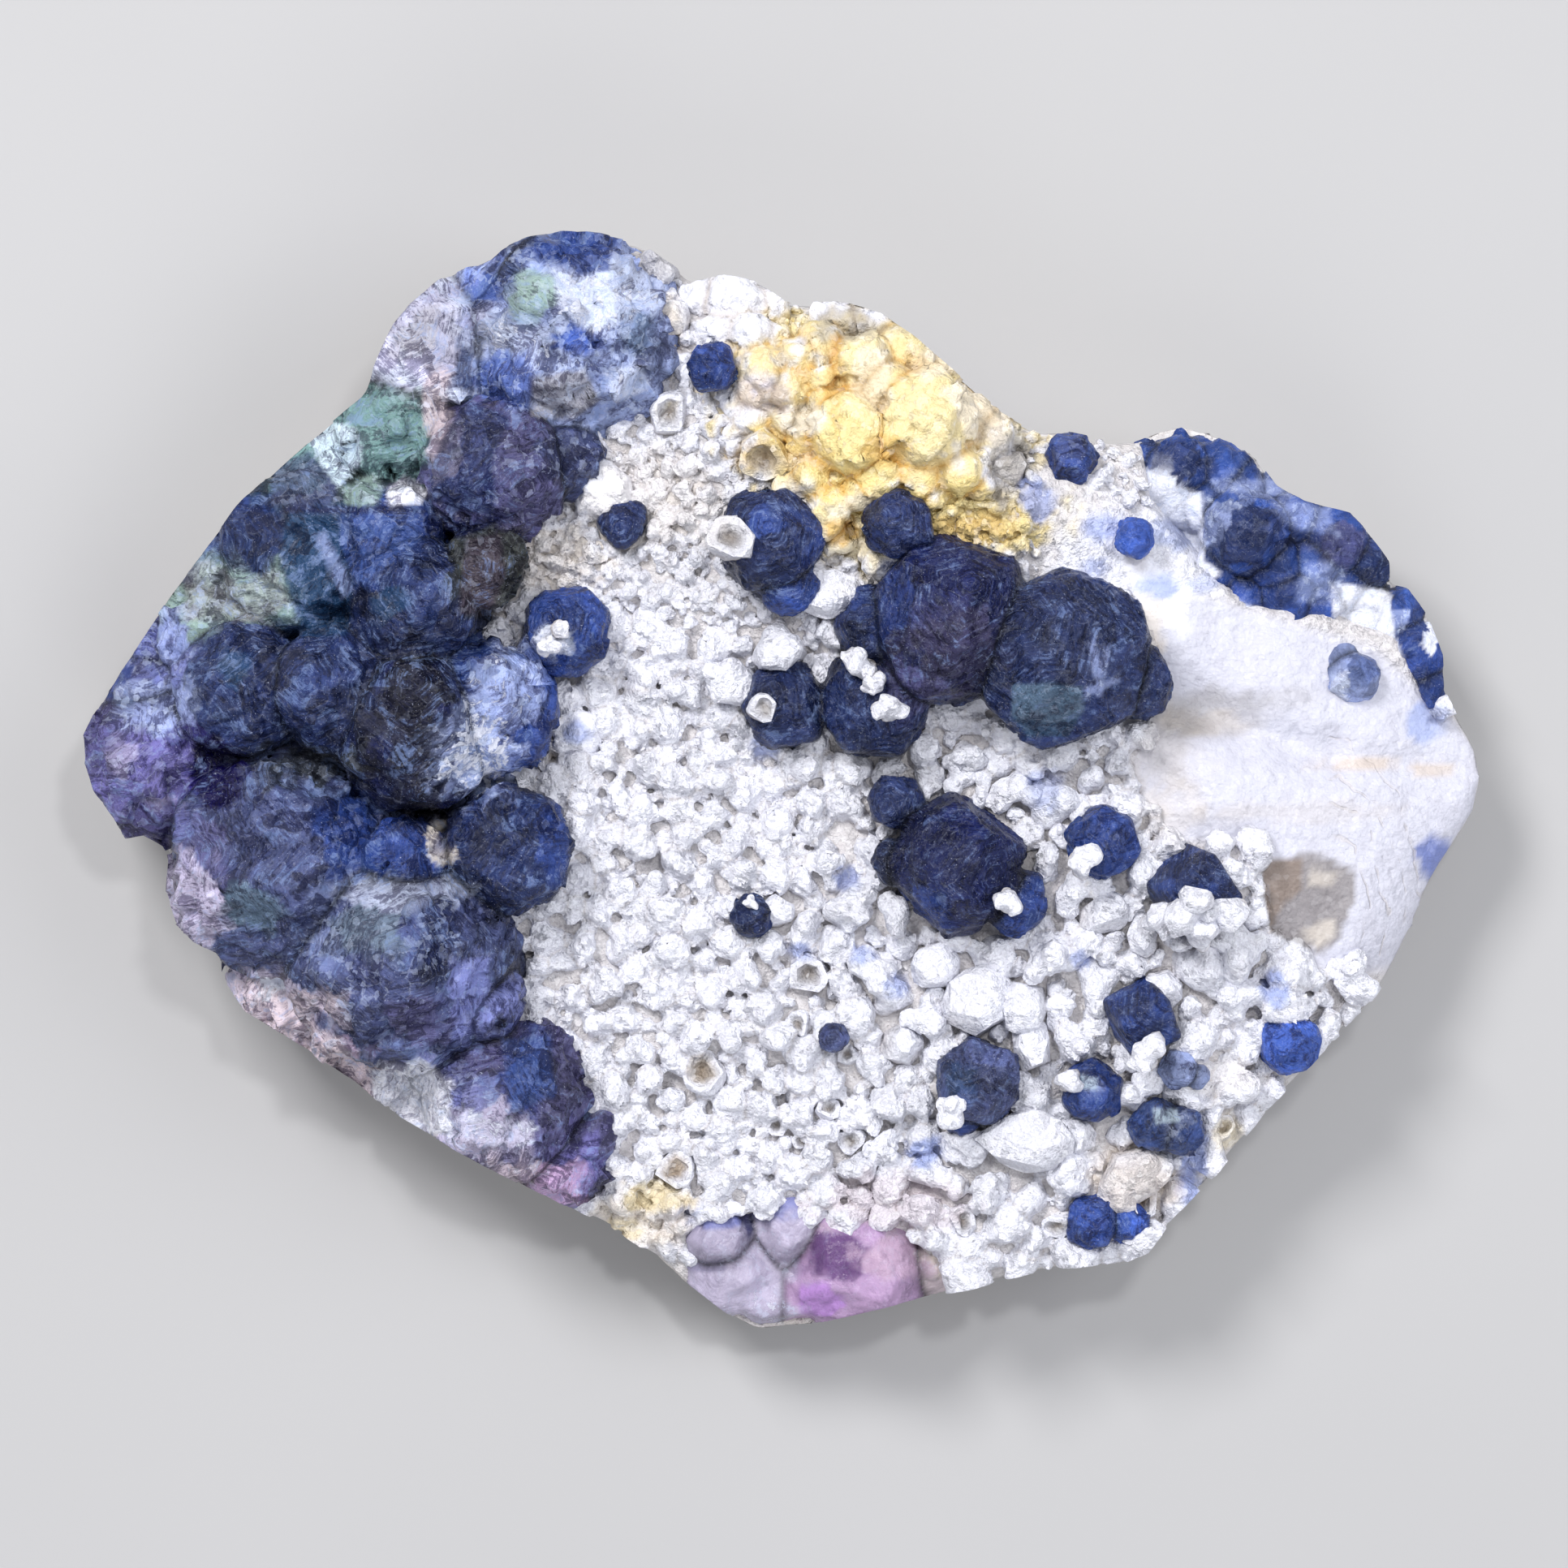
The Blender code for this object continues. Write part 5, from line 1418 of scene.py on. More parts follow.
    def _strew(self) -> list[tuple[float, float, float]]:
        """Strews grains over the druse, the coarse ones first.

        Returns:
            The place and radius of each.
        """
        draw = random.Random(self.seed + 1)
        spots = np.array([(draw.uniform(-21, 41), draw.uniform(-33, 32)) for _ in range(self.tries)])
        x, y = spots[:, 0], spots[:, 1]
        flat = np.column_stack([spots, np.zeros(len(spots))])
        free = edge_distance(flat, OUTLINE)[0] > 0.5
        for bed, gap in ((LEFT_BED, 0.3), (RIGHT_BED, 0.2), (PURPLE_BED, 0.4)):
            free &= edge_distance(flat, bed)[0] < gap
        face = edge_distance(flat, SMOOTH_FACE)[0]
        free &= face < 0.4
        sugary = (x > 15.5) & (y > 12.5 - 0.12 * (x - 15.5)) & (y < 20 - 0.5 * (x - 16))
        by_crust = (x > 27) & (y > 5)
        covered = TERRAIN.crystals(flat) > TERRAIN.quartz(flat) + 1.2
        free &= ~sugary & ~covered & ~by_crust
        placed = [(*to_mm(grain.x, grain.y), grain.radius / PIXELS_PER_MM) for grain in DOMES + GRAINS]
        boxes: dict = {}
        for place in placed:
            boxes.setdefault(self._box(*place[:2]), []).append(place)
        strewn = []
        candidates = spots[free]
        for index, (x, y) in enumerate(candidates.tolist()):
            low, high = self._coarse(x, y)
            share = index / len(candidates)
            radius = low + (high - low) * max(0.0, 1 - share * 1.7) ** 1.3 * draw.uniform(0.75, 1.0)
            column, row = self._box(x, y)
            near = [
                place for i in range(-2, 3) for j in range(-2, 3)
                for place in boxes.get((column + i, row + j), ())
            ]
            if all(math.hypot(x - a, y - b) > (radius + r) * self.crowding for a, b, r in near):
                strewn.append((x, y, radius))
                boxes.setdefault((column, row), []).append((x, y, radius))
        return strewn

    def build(self, finish: bpy.types.Material) -> list[bpy.types.Object]:
        """Lays the grains and joins them, region by region.

        Args:
            finish: Their material.

        Returns:
            The joined pieces.
        """
        self.model_patterns()
        draw = random.Random(self.seed + 2)
        parts: dict[str, list] = {}
        for x, y, radius in self._strew():
            shape = draw.choices((S.GRAIN, S.KNOB), (1 - self.knob_share, self.knob_share))[0]
            row = (x, y, radius, shape, draw.uniform(0.0, 0.5), False)
            parts.setdefault(self._region(x, y), []).append(row)
        pieces = []
        for name, rows in parts.items():
            piece, grains, _ = self._lay(name, rows, draw)
            pieces.append(self._fuse(piece, grains, self.voxels[name]))
        pieces.append(self._place_chosen(draw))
        for piece in pieces:
            Bench.dress(piece, finish, self.crease_angle)
        return pieces

    def _region(self, x: float, y: float) -> str:
        """Names the piece that a grain belongs to.

        Args:
            x: Millimetres to the right.
            y: Millimetres up.

        Returns:
            The piece's name.
        """
        if y > 12 and x > 1:
            region = "yellow_botryoids"
        elif self._coarse(x, y)[1] < 0.8:
            region = "druse_fine"
        else:
            region = "druse_coarse" if x > 6 else "druse_middle"
        return region

    def _place_chosen(self, draw: random.Random) -> bpy.types.Object:
        """Lays the grains that were placed one by one, and roughens them.

        Args:
            draw: Source of their turns.

        Returns:
            The piece.
        """
        chosen = [
            (*to_mm(one.x, one.y), one.radius / PIXELS_PER_MM, one.shape, one.lift, True) for one in GRAINS
        ]
        piece, _, depths = self._lay("chosen_grains", chosen, draw)
        points = Bench.points(piece)
        points += 0.16 * np.column_stack([rough(points, 1.0, shift) for shift in (3.0, 5.0, 7.0)])
        points += 0.09 * np.column_stack([rough(points, 0.45, shift) for shift in (2.0, 4.0, 6.0)])
        keep_inside(points)
        Bench.place(piece, points)
        shades = np.concatenate(depths)
        self._paint(piece, shades[:, 1], shades[:, 0])
        return piece

    def _lay(self, name: str, rows: list, draw: random.Random) -> tuple[bpy.types.Object, np.ndarray, list]:
        """Makes one mesh of many grains.

        Args:
            name: Name of the mesh.
            rows: Place, radius, shape and lift of each grain, and whether it was placed one by one.
            draw: Source of their turns.

        Returns:
            The mesh; the middle, radius, brightness and floor of each grain; and how far each point of each
            stands out, which sets its painted shade, with its brightness; both darker in a hollow grain's cup.
        """
        spots = np.array([(row[0], row[1], 0.0) for row in rows])
        ground, skin = TERRAIN.quartz(spots), TERRAIN.crystals(spots)
        corners, faces, depths, grains, count = [], [], [], [], 0
        for (x, y, radius, shape, lift, chosen), floor, top in zip(rows, ground, skin):
            points, triangles = draw.choice(self.patterns[shape])
            stretch = (1.45, 0.85, 0.8) if shape is S.LENS else [draw.uniform(0.82, 1.18) for _ in range(3)]
            tilt = 0.3 if shape in (S.HOLLOW, S.LENS) else 3.1
            spin = 0.0 if shape is S.LENS else draw.uniform(0, 6.3)
            turn = Euler((draw.uniform(-tilt, tilt), draw.uniform(-tilt, tilt), spin))
            turned = points * stretch @ np.array(turn.to_matrix()).T
            if shape is S.LENS:
                turned[:, 1:] *= smooth(-1.9, 0.2, turned[:, :1])
            z = (max(floor, top) if chosen and lift >= 0.6 else floor) + radius * lift
            corners.append(turned * radius * 1.08 + (x, y, z))
            faces.append(triangles + count)
            count += len(points)
            # Painted shade: each grain darker towards its underside.
            depth = smooth(-0.55, 0.15, turned[:, 2]) * 0.85 + 0.15
            shade = draw.uniform(0.89, 1.02)
            tone_and_cup_shade = np.full(len(points), shade)
            # Painted shade in the cups of hollow grains: darker towards their middles.
            if shape is S.HOLLOW:
                outer = np.linalg.norm(points[:, :2], axis=1) + (points[:, 2] < -0.3)
                depth *= smooth(0.0, 0.75, outer)
                tone_and_cup_shade *= 0.55 + 0.45 * smooth(0.3, 0.7, outer)
            depths.append(np.column_stack([depth, tone_and_cup_shade]))
            grains.append((x, y, z, radius, shade, floor))
        return self._mesh(name, np.concatenate(corners), np.concatenate(faces)), np.array(grains), depths

    def _fuse(self, piece: bpy.types.Object, grains: np.ndarray, voxel: float) -> bpy.types.Object:
        """Grows the grains of a piece together and paints a beige stain with shade into the seams between them
        and at their feet.

        Args:
            piece: The grains' mesh.
            grains: Middle, radius, brightness and floor of each.
            voxel: Fineness of the skin.

        Returns:
            The piece.
        """
        Bench.finish_with(piece, "REMESH", mode="VOXEL", voxel_size=voxel * MM)
        points, outward = Bench.points(piece), Bench.points(piece, "normal")
        tree = KDTree(len(grains))
        for index, grain in enumerate(grains.tolist()):
            tree.insert(grain[:3], index)
        tree.balance()
        near = np.array([[hit[1] for hit in tree.find_n(point, 4)] for point in points.tolist()])
        away = np.linalg.norm(points[:, None] - grains[near][..., :3], axis=2) - grains[near][..., 3]
        order = np.sort(away, axis=1)
        owner = near[np.arange(len(points)), away.argmin(1)]
        lift = 0.08 * rough(points, 0.9) + 0.05 * rough(points, 0.42, 2.0)
        lift += broken_faces(points, 0.9, voxel, 0.07, self.seed)
        points += outward * lift[:, None]
        keep_inside(points)
        Bench.place(piece, points)
        # Beige stain with painted shade: darker in the seams between grains and towards each grain's foot.
        seam_shade_strength = 0.62 if voxel > self.coarse_voxel else 0.46
        seam_stain_and_shade = 1 - seam_shade_strength * np.exp(-(order[:, 1] - order[:, 0]) / self.seam_width)
        height = smooth(-0.35, 0.30, points[:, 2] - grains[owner, 5])
        self._paint(piece, grains[owner, 4], np.minimum(seam_stain_and_shade, 0.3 + 0.7 * height))
        return piece

    @staticmethod
    def _mesh(name: str, points: np.ndarray, faces: np.ndarray) -> bpy.types.Object:
        """Makes a piece of points in millimetres and triangles.

        Args:
            name: Name of the piece.
            points: Its points.
            faces: The corners of its triangles.

        Returns:
            The piece.
        """
        mesh = bpy.data.meshes.new(name)
        mesh.vertices.add(len(points))
        mesh.vertices.foreach_set("co", (points * MM).astype(np.float32).ravel())
        mesh.loops.add(faces.size)
        mesh.loops.foreach_set("vertex_index", faces.astype(np.int32).ravel())
        mesh.polygons.add(len(faces))
        mesh.polygons.foreach_set("loop_start", np.arange(0, faces.size, 3, dtype=np.int32))
        mesh.update(calc_edges=True)
        piece = bpy.data.objects.new(name, mesh)
        bpy.context.scene.collection.objects.link(piece)
        return piece

    @staticmethod
    def _paint(piece: bpy.types.Object, shades: np.ndarray, up: np.ndarray) -> None:
        """Colours grains: white tops, beige feet and seams as a stain with painted shade, and the stains and
        painted shadows of their place.

        Args:
            piece: The grains.
            shades: Brightness of each point, darker in the cups of hollow grains as painted shade.
            up: How far each point stands clear of the painted shade and beige stain of feet and seams, 0 to 1.
        """
        points = Bench.points(piece)
        white = stained(T.WHITE)[None] * shades[:, None]
        foot_stain_and_shade = stained(T.BEIGE)[None]
        colour = paint(points, white + np.zeros((len(points), 4)), QUARTZ_SPOTS_AND_SHADOWS, 2.0)
        # Low points and seams darkened towards beige: a stain with painted shade.
        Bench.stain(piece, colour * up[:, None] + foot_stain_and_shade * colour * (1 - up)[:, None])


@dataclass
class Botryoids:
    """Larger rounded quartz, grown together on the ridge."""

    name: str = "fused_botryoids"
    voxel: float = 0.22
    seed: int = 31
    swell: float = 1.12
    crease_shade_width: float = 0.28

    def build(self, finish: bpy.types.Material) -> bpy.types.Object:
        """Models, fuses and paints the domes.

        Args:
            finish: Their material.

        Returns:
            The piece.
        """
        draw = random.Random(self.seed)
        spots = np.array([(*to_mm(grain.x, grain.y), 0.0) for grain in DOMES])
        radii = np.array([grain.radius / PIXELS_PER_MM for grain in DOMES]) * self.swell
        lifts = np.array([grain.lift for grain in DOMES]) * 0.8
        spots[:, 2] = TERRAIN.quartz(spots) + radii * (lifts - 0.2)
        parts = [self._dome(centre, radius, draw) for centre, radius in zip(spots.tolist(), radii.tolist())]
        piece = Bench.join(parts, self.name)
        Bench.finish_with(piece, "REMESH", mode="VOXEL", voxel_size=self.voxel * MM)
        points, outward = Bench.points(piece), Bench.points(piece, "normal")
        away = np.sort(np.linalg.norm(points[:, None] - spots[None], axis=2) - radii, axis=1)
        gap = away[:, 1] - away[:, 0]
        lift = 0.14 * rough(points, 0.9) + 0.06 * rough(points, 0.4, 2.0) + 0.30 * rough(points, 2.2, 4.0)
        points += outward * (lift + broken_faces(points, 1.5, self.voxel, 0.10, self.seed))[:, None]
        keep_inside(points)
        Bench.place(piece, points)
        self._paint(piece, points, gap)
        Bench.dress(piece, finish)
        return piece

    @staticmethod
    def _dome(centre: list[float], radius: float, draw: random.Random) -> bpy.types.Object:
        """Makes one dome and flattens a few places on it.

        Args:
            centre: Its centre.
            radius: Its radius.
            draw: Source of the flat places.

        Returns:
            The dome.
        """
        ball = Bench.ball(centre, radius, 3)
        cuts = []
        for _ in range(6):
            outward = any_direction(draw)
            cuts.append((Vector(centre) + outward * radius * draw.uniform(0.86, 0.96), outward))
        Bench.facet(ball, cuts)
        return ball

    def _paint(self, piece: bpy.types.Object, points: np.ndarray, gap: np.ndarray) -> None:
        """Colours the domes, with creases between them darkened towards beige, and towards ochre on yellow
        domes: a stain with painted shade.

        Args:
            piece: The fused domes.
            points: Their points.
            gap: Distance of each point to the next dome.
        """
        base = stained(T.WHITE) + np.zeros((len(points), 4))
        colour = paint(points, base, QUARTZ_SPOTS_AND_SHADOWS, 2.0)
        colour[:, 3] = 0.5
        # Stain with painted shade: creases between domes darkened towards beige, towards ochre on yellow domes.
        crease = (0.85 * np.exp(-gap / self.crease_shade_width))[:, None]
        yellow = smooth(0.25, 0.6, 1 - colour[:, 2] / colour[:, 0])[:, None]
        seam = T.BEIGE.linear() * (1 - yellow) + T.OCHRE.linear() * yellow
        colour[:, :3] = colour[:, :3] * (1 - crease) + colour[:, :3] * seam * crease
        Bench.stain(piece, colour)


@dataclass
class Growth:
    """Fluorite balls that grew together: modelled as balls, faceted, fused, stepped and painted."""

    name: str
    lobes: list[Lobe]
    spots: list[Spot]
    patches: list[Patch]
    voxel: float = 0.2
    seed: int = 1
    rings: tuple = ((6, 6, 0.83, 0.92), (5, 42, 0.79, 0.89), (1, 78, 0.77, 0.87))
    bed: str | None = None
    step: float = 0.07
    cleavage: float = 0.035
    block: float = 1.6
    spread: float = 1.06
    facet_tone: float = 0.30
    patch: float = 1.3
    shards: float = 0.75
    bed_shrink: float = 0.35
    fine_radius: float = 2.4
    step_width: float = 1.15
    tuck: float = 0.07
    crease_shade_width: float = 0.36
    cuts: list = field(default_factory=list)
    turns: list = field(default_factory=list)

    def build(self, finish: bpy.types.Material) -> bpy.types.Object:
        """Builds the growth.

        Args:
            finish: Its material.

        Returns:
            The piece.
        """
        draw = random.Random(self.seed)
        parts = [self._crystal(lobe, draw) for lobe in self.lobes]
        if self.bed:
            parts.append(self._bed())
        piece = Bench.join(parts, self.name)
        Bench.finish_with(piece, "REMESH", mode="VOXEL", voxel_size=self.voxel * MM)
        growth, owner, gap = self._steps(piece, draw)
        self._paint(piece, growth, owner, gap)
        Bench.dress(piece, finish)
        return piece

    def _crystal(self, lobe: Lobe, draw: random.Random) -> bpy.types.Object:
        """Makes one ball and cuts its facets.

        Args:
            lobe: The ball.
            draw: Source of its facets.

        Returns:
            The ball, cut.
        """
        piece = Bench.ball(lobe.centre, lobe.radius * self.spread, 4 if lobe.radius > self.fine_radius else 3)
        cuts = []
        for count, rise, low, high in self.rings:
            start = draw.uniform(0, 2 * math.pi)
            for place in range(count):
                turn = start + (place + draw.uniform(-0.3, 0.3)) * 2 * math.pi / count
                height = math.radians(rise + draw.uniform(-9, 9))
                level = math.cos(height)
                outward = Vector((math.cos(turn) * level, math.sin(turn) * level, math.sin(height)))
                reach = lobe.radius * draw.uniform(low, high) * (1 + (self.spread - 1) * level)
                reach *= 1 - lobe.slim * abs(outward.x)
                cuts.append((Vector(lobe.centre) + outward * reach, outward))
        Bench.facet(piece, cuts)
        self.cuts.append([(point - Vector(lobe.centre)).dot(outward) for point, outward in cuts])
        self.turns.append([tuple(outward) for _, outward in cuts])
        return piece

    def _facet_tone_and_edge_highlights(self, points: np.ndarray, owner: np.ndarray) -> np.ndarray:
        """Gives each facet its own brightness, and painted highlights along the edges between them.

        Args:
            points: The skin's points.
            owner: The ball that each belongs to.

        Returns:
            The brightness of each point.
        """
        draw = random.Random(self.seed + 70)
        tone_and_highlight = np.ones(len(points))
        for index, lobe in enumerate(self.lobes):
            mine = owner == index
            height = (points[mine] - lobe.centre) @ np.array(self.turns[index]).T - np.array(self.cuts[index])
            low, high = 1 - self.facet_tone, 1 + self.facet_tone
            shades = np.array([draw.uniform(low, high) for _ in self.cuts[index]])
            # Painted highlight: lighter near the edges between facets.
            inside = smooth(-0.45, -0.15, height.max(1))
            tone_and_highlight[mine] = shades[height.argmax(1)] * inside + (1 + 0.35 * self.facet_tone) * (1 - inside)
        return tone_and_highlight

    def _bed(self) -> bpy.types.Object:
        """Copies the CAD crust, merged and shrunk a little, to fill the space between the balls.

        Returns:
            The copy.
        """
        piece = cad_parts[self.bed].copy()
        piece.data = piece.data.copy()
        piece.hide_render = piece.hide_viewport = False
        piece.parent = None
        bpy.context.scene.collection.objects.link(piece)
        Bench.pick(piece)
        bpy.ops.object.mode_set(mode="EDIT")
        bpy.ops.mesh.select_all(action="SELECT")
        bpy.ops.mesh.remove_doubles(threshold=1e-6)
        bpy.ops.transform.shrink_fatten(value=-self.bed_shrink * MM)
        bpy.ops.object.mode_set(mode="OBJECT")
        return piece

    def _steps(self, piece: bpy.types.Object, draw: random.Random) -> tuple[np.ndarray, ...]:
        """Raises growth steps on each ball and keeps the whole inside the specimen's outline.

        Args:
            piece: The fused piece.
            draw: Source of the steps' directions.

        Returns:
            The distance along the steps, the ball that owns each point, and the distance to the next ball.
        """
        points, outward = Bench.points(piece), Bench.points(piece, "normal")
        owner, gap = self._owners(points)
        growth = self._growth(points, owner, draw)
        wave = growth / self.step_width + 0.9 * rough(points, 2.2, self.seed) + owner * 0.37
        saw = (wave - np.floor(wave)) ** 1.6
        lift = self.step * saw + 0.10 * rough(points, 1.1, 4.0) + 0.06 * rough(points, 0.45, 7.0)
        broken = broken_faces(points, self.block, self.voxel, self.cleavage, self.seed)
        lift += broken * np.array([lobe.broken for lobe in self.lobes])[owner]
        points += outward * (lift * smooth(0.0, 0.8, gap))[:, None]
        keep_inside(points)
        low = smooth(6.2, 4.6, points[:, 2] + 1.2 * rough(points, 2.4, 11.0))
        points[:, :2] *= (1 - self.tuck * low)[:, None]
        Bench.place(piece, points)
        return growth, owner, gap

    def _owners(self, points: np.ndarray) -> tuple[np.ndarray, np.ndarray]:
        """Finds the ball that each point belongs to.

        Args:
            points: The skin's points.

        Returns:
            The number of the ball, and the distance to the next ball.
        """
        centres = np.array([lobe.centre for lobe in self.lobes])
        radii = np.array([lobe.radius for lobe in self.lobes])
        away = np.concatenate([
            np.linalg.norm(part[:, None] - centres[None], axis=2) - radii
            for part in np.array_split(points, max(1, len(points) // 20000))
        ])
        order = np.sort(away, axis=1)
        gap = order[:, 1] - order[:, 0] if len(radii) > 1 else np.full(len(points), 9.0)
        return away.argmin(1), gap

    def _growth(self, points: np.ndarray, owner: np.ndarray, draw: random.Random) -> np.ndarray:
        """Measures how far each point lies along the growth steps of its ball.

        Args:
            points: The skin's points.
            owner: The ball that each belongs to.
            draw: Source of the steps' directions.

        Returns:
            The distances.
        """
        growth = np.zeros(len(points))
        for index, lobe in enumerate(self.lobes):
            mine = owner == index
            local = points[mine] - np.array(lobe.centre)
            pole = any_direction(draw)
            pole.z = abs(pole.z) + 0.5
            pole.normalize()
            side = pole.orthogonal().normalized()
            turns = [math.radians(60 * place + draw.uniform(-12, 12)) for place in range(6)]
            sides = [np.array(Matrix.Rotation(turn, 3, pole) @ side) for turn in turns]
            growth[mine] = np.max([local @ one for one in sides], axis=0)
        return growth

    def _paint(self, piece: bpy.types.Object, growth: np.ndarray, owner: np.ndarray, gap: np.ndarray) -> None:
        """Colours each ball, paints shade into the creases between balls and lays the patches.

        Args:
            piece: The growth.
            growth: Distance of each point along the steps.
            owner: The ball that each point belongs to.
            gap: Distance of each point to the next ball.
        """
        points = Bench.points(piece)
        draw = np.random.default_rng(self.seed + 5)
        count = min(max(20, int(len(points) * self.voxel ** 2 / self.patch ** 2)), len(points))
        chosen = draw.choice(len(points), count, replace=False)
        nearest = cells(points, points[chosen], 0.35)
        seen = points * (1 - self.shards) + points[chosen][nearest] * self.shards
        base = np.array([stained(lobe.tint) for lobe in self.lobes])[owner]
        base = paint(seen, base, self.spots, self.seed)
        patchy = draw.uniform(1 - self.facet_tone, 1 + self.facet_tone, count)
        tone_and_highlight = self._facet_tone_and_edge_highlights(points, owner) * patchy[nearest]
        # Each facet's tone with its painted edge highlights, and painted shade with dark joints in the creases
        # between balls.
        base[:, :3] *= (tone_and_highlight * (1 - 0.8 * np.exp(-gap / self.crease_shade_width)))[:, None]
        base = paint(points, base, self.patches, self.seed)
        # More darkening in the narrowest creases, over the patches: painted shade with dark joints.
        base[:, :3] *= (1 - 0.3 * np.exp(-gap / 0.2))[:, None]
        Bench.stain(piece, base, growth)


@dataclass
class Corner:
    """A cube corner of fluorite with stepped faces."""

    name: str
    cube: Cube
    voxel: float = 0.14
    insets: tuple = ((0.22, 0.10), (0.45, 0.07))
    crease_angle: float = 40.0

    def build(self, finish: bpy.types.Material) -> bpy.types.Object:
        """Models the corner.

        Args:
            finish: Its material.

        Returns:
            The piece.
        """
        one = self.cube
        Bench.pick()
        bpy.ops.mesh.primitive_cube_add(
            size=one.edge * MM, location=(one.x * MM, one.y * MM, one.z * MM),
            rotation=[math.radians(angle) for angle in one.turn],
        )
        piece = Bench.settle()
        piece.name = piece.data.name = self.name
        bpy.ops.object.mode_set(mode="EDIT")
        bpy.ops.mesh.select_all(action="SELECT")
        for inward, outward in self.insets:
            bpy.ops.mesh.inset(thickness=inward * MM, depth=outward * MM, use_individual=True)
        bpy.ops.object.mode_set(mode="OBJECT")
        Bench.finish_with(piece, "BEVEL", width=0.08 * MM, segments=1)
        Bench.finish_with(piece, "REMESH", mode="VOXEL", voxel_size=self.voxel * MM)
        points, outward = Bench.points(piece), Bench.points(piece, "normal")
        points += outward * (0.07 * rough(points, 0.9) + 0.03 * rough(points, 0.4, 3.0))[:, None]
        Bench.place(piece, points)
        base = np.broadcast_to(stained(one.tint), (len(points), 4))
        edge = stained(T.BRIGHT_BLUE, 0.1)
        share = (0.35 * smooth(-0.1, 0.5, rough(points, 1.5, 6.0)))[:, None]
        Bench.stain(piece, base * (1 - share) + edge * share, points @ np.array([0.6, 0.5, 0.62]))
        Bench.dress(piece, finish, self.crease_angle)
        return piece


@dataclass
class Studio:
    """The table, the camera straight above and the soft light."""

    lens: float = 200.0
    above: float = 0.5367
    focus_level: float = 0.012
    table: float = 1.2
    sensor: float = 36.0
    room: tuple = (0.96, 0.97, 1.0, 1.0)
    room_light: float = 0.48
    lamps: tuple = (
        ("key", (-0.26, 0.34, 0.52), 0.20, 3.9, (1.0, 0.985, 0.97)),
        ("glint", (0.10, 0.16, 0.60), 0.05, 0.95, (1.0, 1.0, 1.0)),
        ("fill", (0.45, 0.10, 0.45), 0.40, 1.3, (0.96, 0.97, 1.0)),
        ("front", (0.05, -0.50, 0.40), 0.35, 0.9, (0.97, 0.98, 1.0)),
    )

    def build(self) -> None:
        """Sets up the table, camera and lights."""
        Bench.pick()
        bpy.ops.mesh.primitive_plane_add(size=self.table)
        floor = bpy.context.object
        floor.name = "table"
        floor.data.materials.append(TableFinish().build())
        bpy.ops.object.camera_add(location=(0, 0, self.focus_level + self.above), rotation=(0, 0, 0))
        camera = bpy.context.object
        camera.data.lens, camera.data.sensor_width, camera.data.clip_start = self.lens, self.sensor, 0.01
        bpy.context.scene.camera = camera
        for lamp in self.lamps:
            self._lamp(*lamp)
        world = bpy.data.worlds.new("soft_room")
        world.use_nodes = True
        world.node_tree.nodes["Background"].inputs["Color"].default_value = self.room
        world.node_tree.nodes["Background"].inputs["Strength"].default_value = self.room_light
        bpy.context.scene.world = world
        bpy.context.scene.view_settings.view_transform = "Standard"

    @staticmethod
    def _lamp(name: str, place: tuple, size: float, power: float, colour: tuple) -> None:
        """Adds a square soft lamp that faces the specimen.

        Args:
            name: Name of the lamp.
            place: Where it hangs, in metres.
            size: Length of a side, in metres.
            power: Watts.
            colour: Colour of the light.
        """
        bpy.ops.object.light_add(type="AREA", location=place)
        lamp = bpy.context.object
        lamp.name = name
        lamp.rotation_euler = (Vector((0, 0, 0.01)) - Vector(place)).to_track_quat("-Z", "Y").to_euler()
        lamp.data.shape, lamp.data.size = "SQUARE", size
        lamp.data.energy, lamp.data.color = power, colour


def hand_over(piece: bpy.types.Object, node: str) -> None:
    """Rides a piece on the stone and says what it stands for.

    Args:
        piece: The finished piece.
        node: The CAD node that it replaces.
    """
    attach(piece, "root")
    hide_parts(node)
    LOG.info("%s: %d faces, stands for %s", piece.name, len(piece.data.polygons), node)


def build_quartz() -> None:
    """Builds the block, the ridge and the druse."""
    quartz = QuartzFinish().build()
    for piece in [QuartzBlock().build(quartz), Botryoids().build(quartz), *Druse().build(quartz)]:
        hand_over(piece, "matrix")


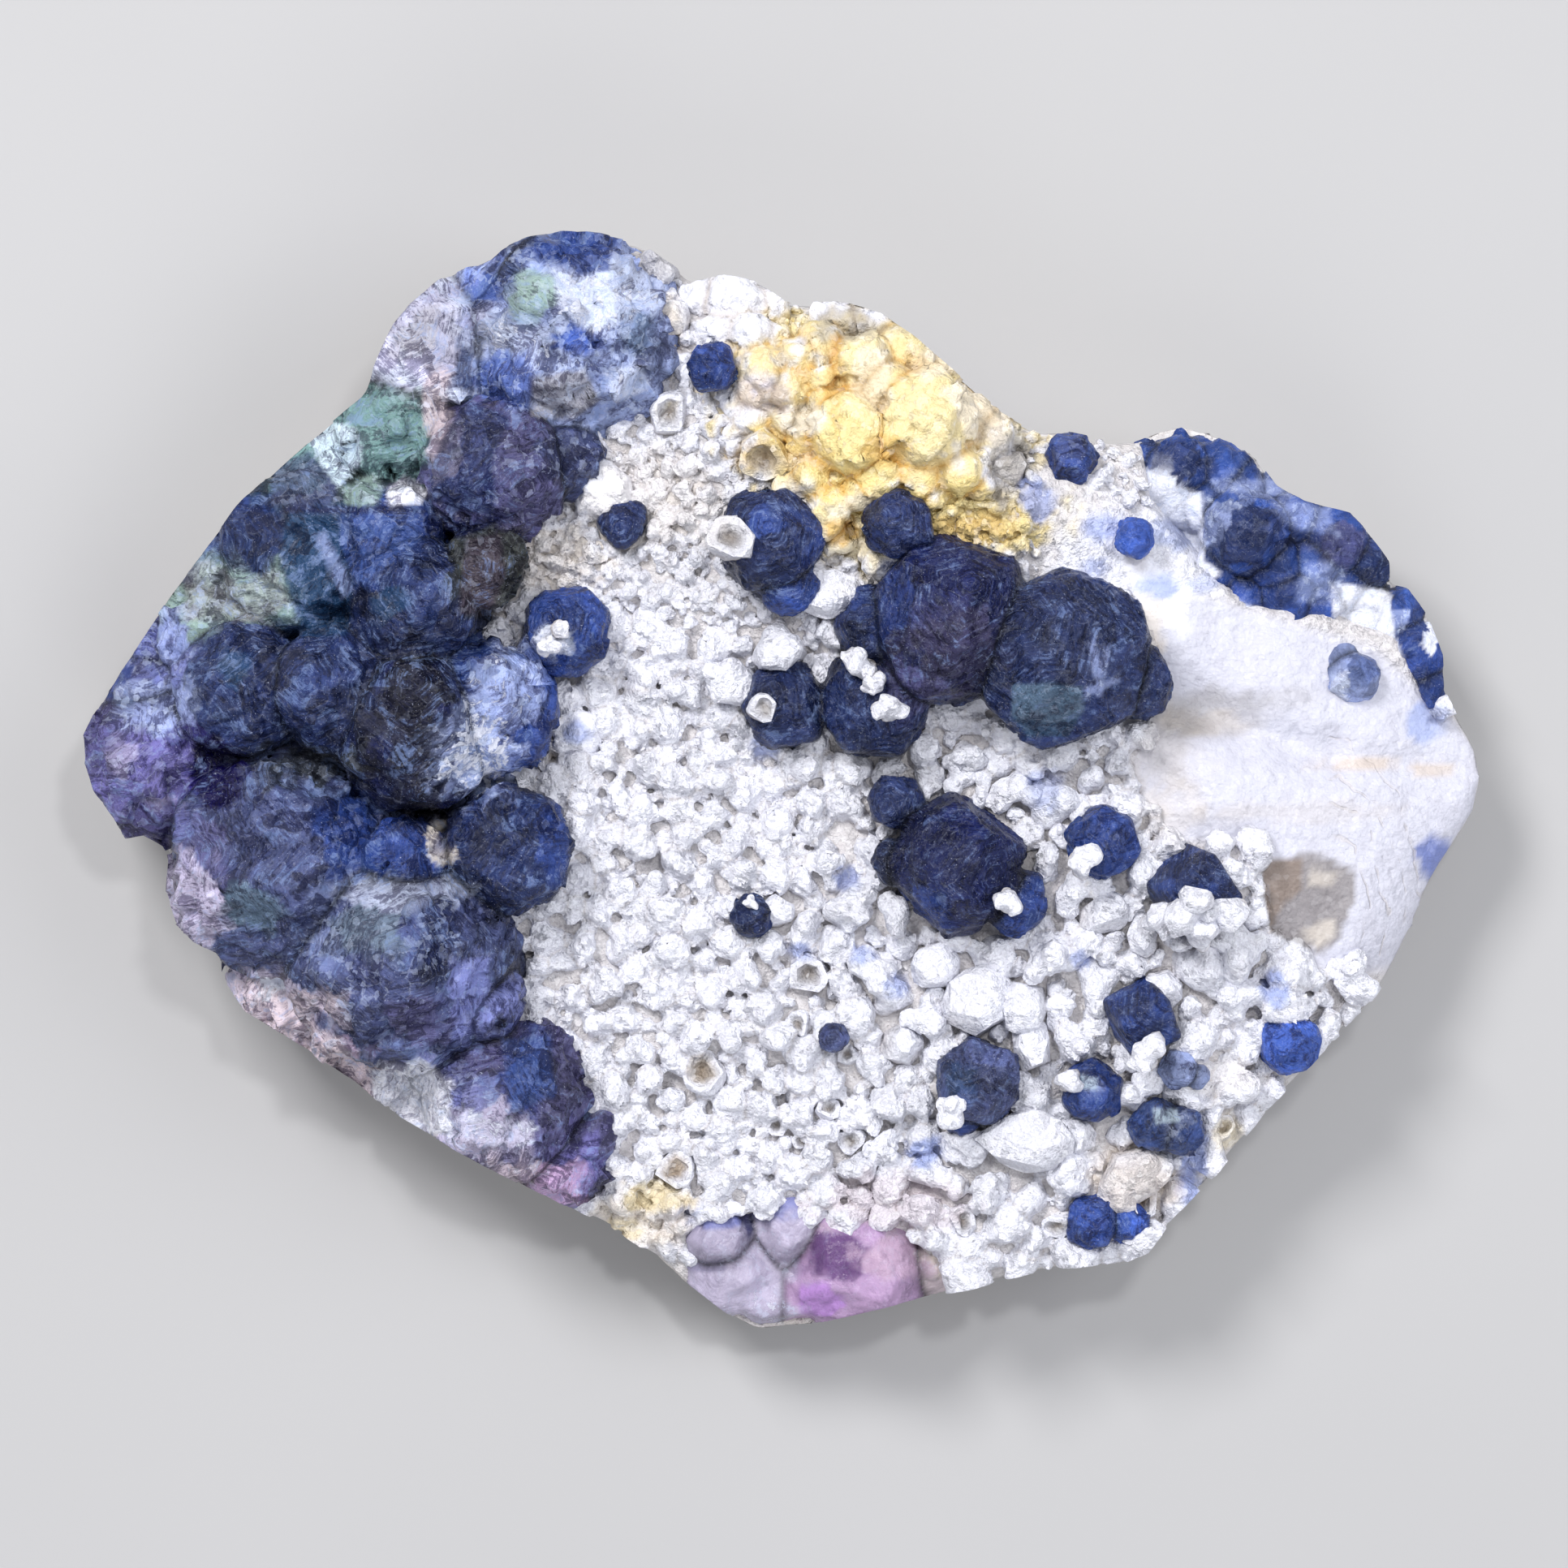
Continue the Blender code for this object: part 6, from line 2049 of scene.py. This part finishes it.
def build_crusts(pale: bpy.types.Material) -> None:
    """Builds the two crusts and the purple mass.

    Args:
        pale: The finish of the right crust.
    """
    deep = FluoriteFinish("crust_fluorite", tilt=0.30, face_mm=1.6, cellular=0.7).build()
    left = Growth(
        "left_crust", LEFT_LOBES, LEFT_SPOTS, LEFT_PATCHES, 0.28, 3, bed="fluorite_crust_left", step=0.20,
        cleavage=0.13, block=1.9, spread=1.14,
        rings=((7, 8, 0.84, 0.97), (6, 42, 0.78, 0.92), (2, 74, 0.76, 0.88)),
    )
    hand_over(left.build(deep), "fluorite_crust_left")
    right = Growth(
        "right_crust", RIGHT_LOBES, RIGHT_SPOTS, RIGHT_PATCHES, 0.22, 4, bed="fluorite_crust_right",
        cleavage=0.08, block=1.3, spread=1.1,
    )
    hand_over(right.build(pale), "fluorite_crust_right")
    purple = FluoriteFinish(
        "purple_fluorite", relief=0.35, painted_glints=0.15, clear=0.25, contrast=0.25, streaks=0.6,
    ).build()
    mass = Growth(
        "purple_growth", PURPLE_LOBES, PURPLE_SPOTS, [], 0.24, 5, bed="purple_mass", step=0.03,
        facet_tone=0.08, shards=0.2,
    )
    hand_over(mass.build(purple), "purple_mass")


def build_crystals(pale: bpy.types.Material) -> None:
    """Builds the balls and the cube corners that stand on the quartz.

    Args:
        pale: The finish of the pale balls.
    """
    blue = FluoriteFinish("blue_fluorite").build()
    clear = FluoriteFinish("glassy_fluorite", relief=0.6, painted_glints=0.2, clear=0.3).build()
    for index, (node, lobes) in enumerate(CRYSTALS.items()):
        size = max(lobe.radius for lobe in lobes)
        growth = Growth(
            f"{node}_crystal", lobes, CRYSTAL_SPOTS, CRYSTAL_PATCHES, min(0.21, 0.1 + size * 0.025),
            10 + index, step=0.05 + size * 0.02,
        )
        is_pale = node in PALE_CRYSTALS
        material = pale if is_pale else clear if node in CLEAR_CRYSTALS else blue
        hand_over(growth.build(material), node)
    for node, cube in CORNERS.items():
        hand_over(Corner(f"{node}_crystal", cube).build(blue), node)


def main() -> None:
    """Builds the specimen piece by piece, then the studio."""
    logging.basicConfig(level=logging.INFO, format="%(message)s")
    build_quartz()
    pale = FluoriteFinish("pale_blue_fluorite", relief=0.6, painted_glints=0.35, contrast=0.45, streaks=1.0).build()
    build_crusts(pale)
    build_crystals(pale)
    Studio().build()


if __name__ == "__main__":
    main()
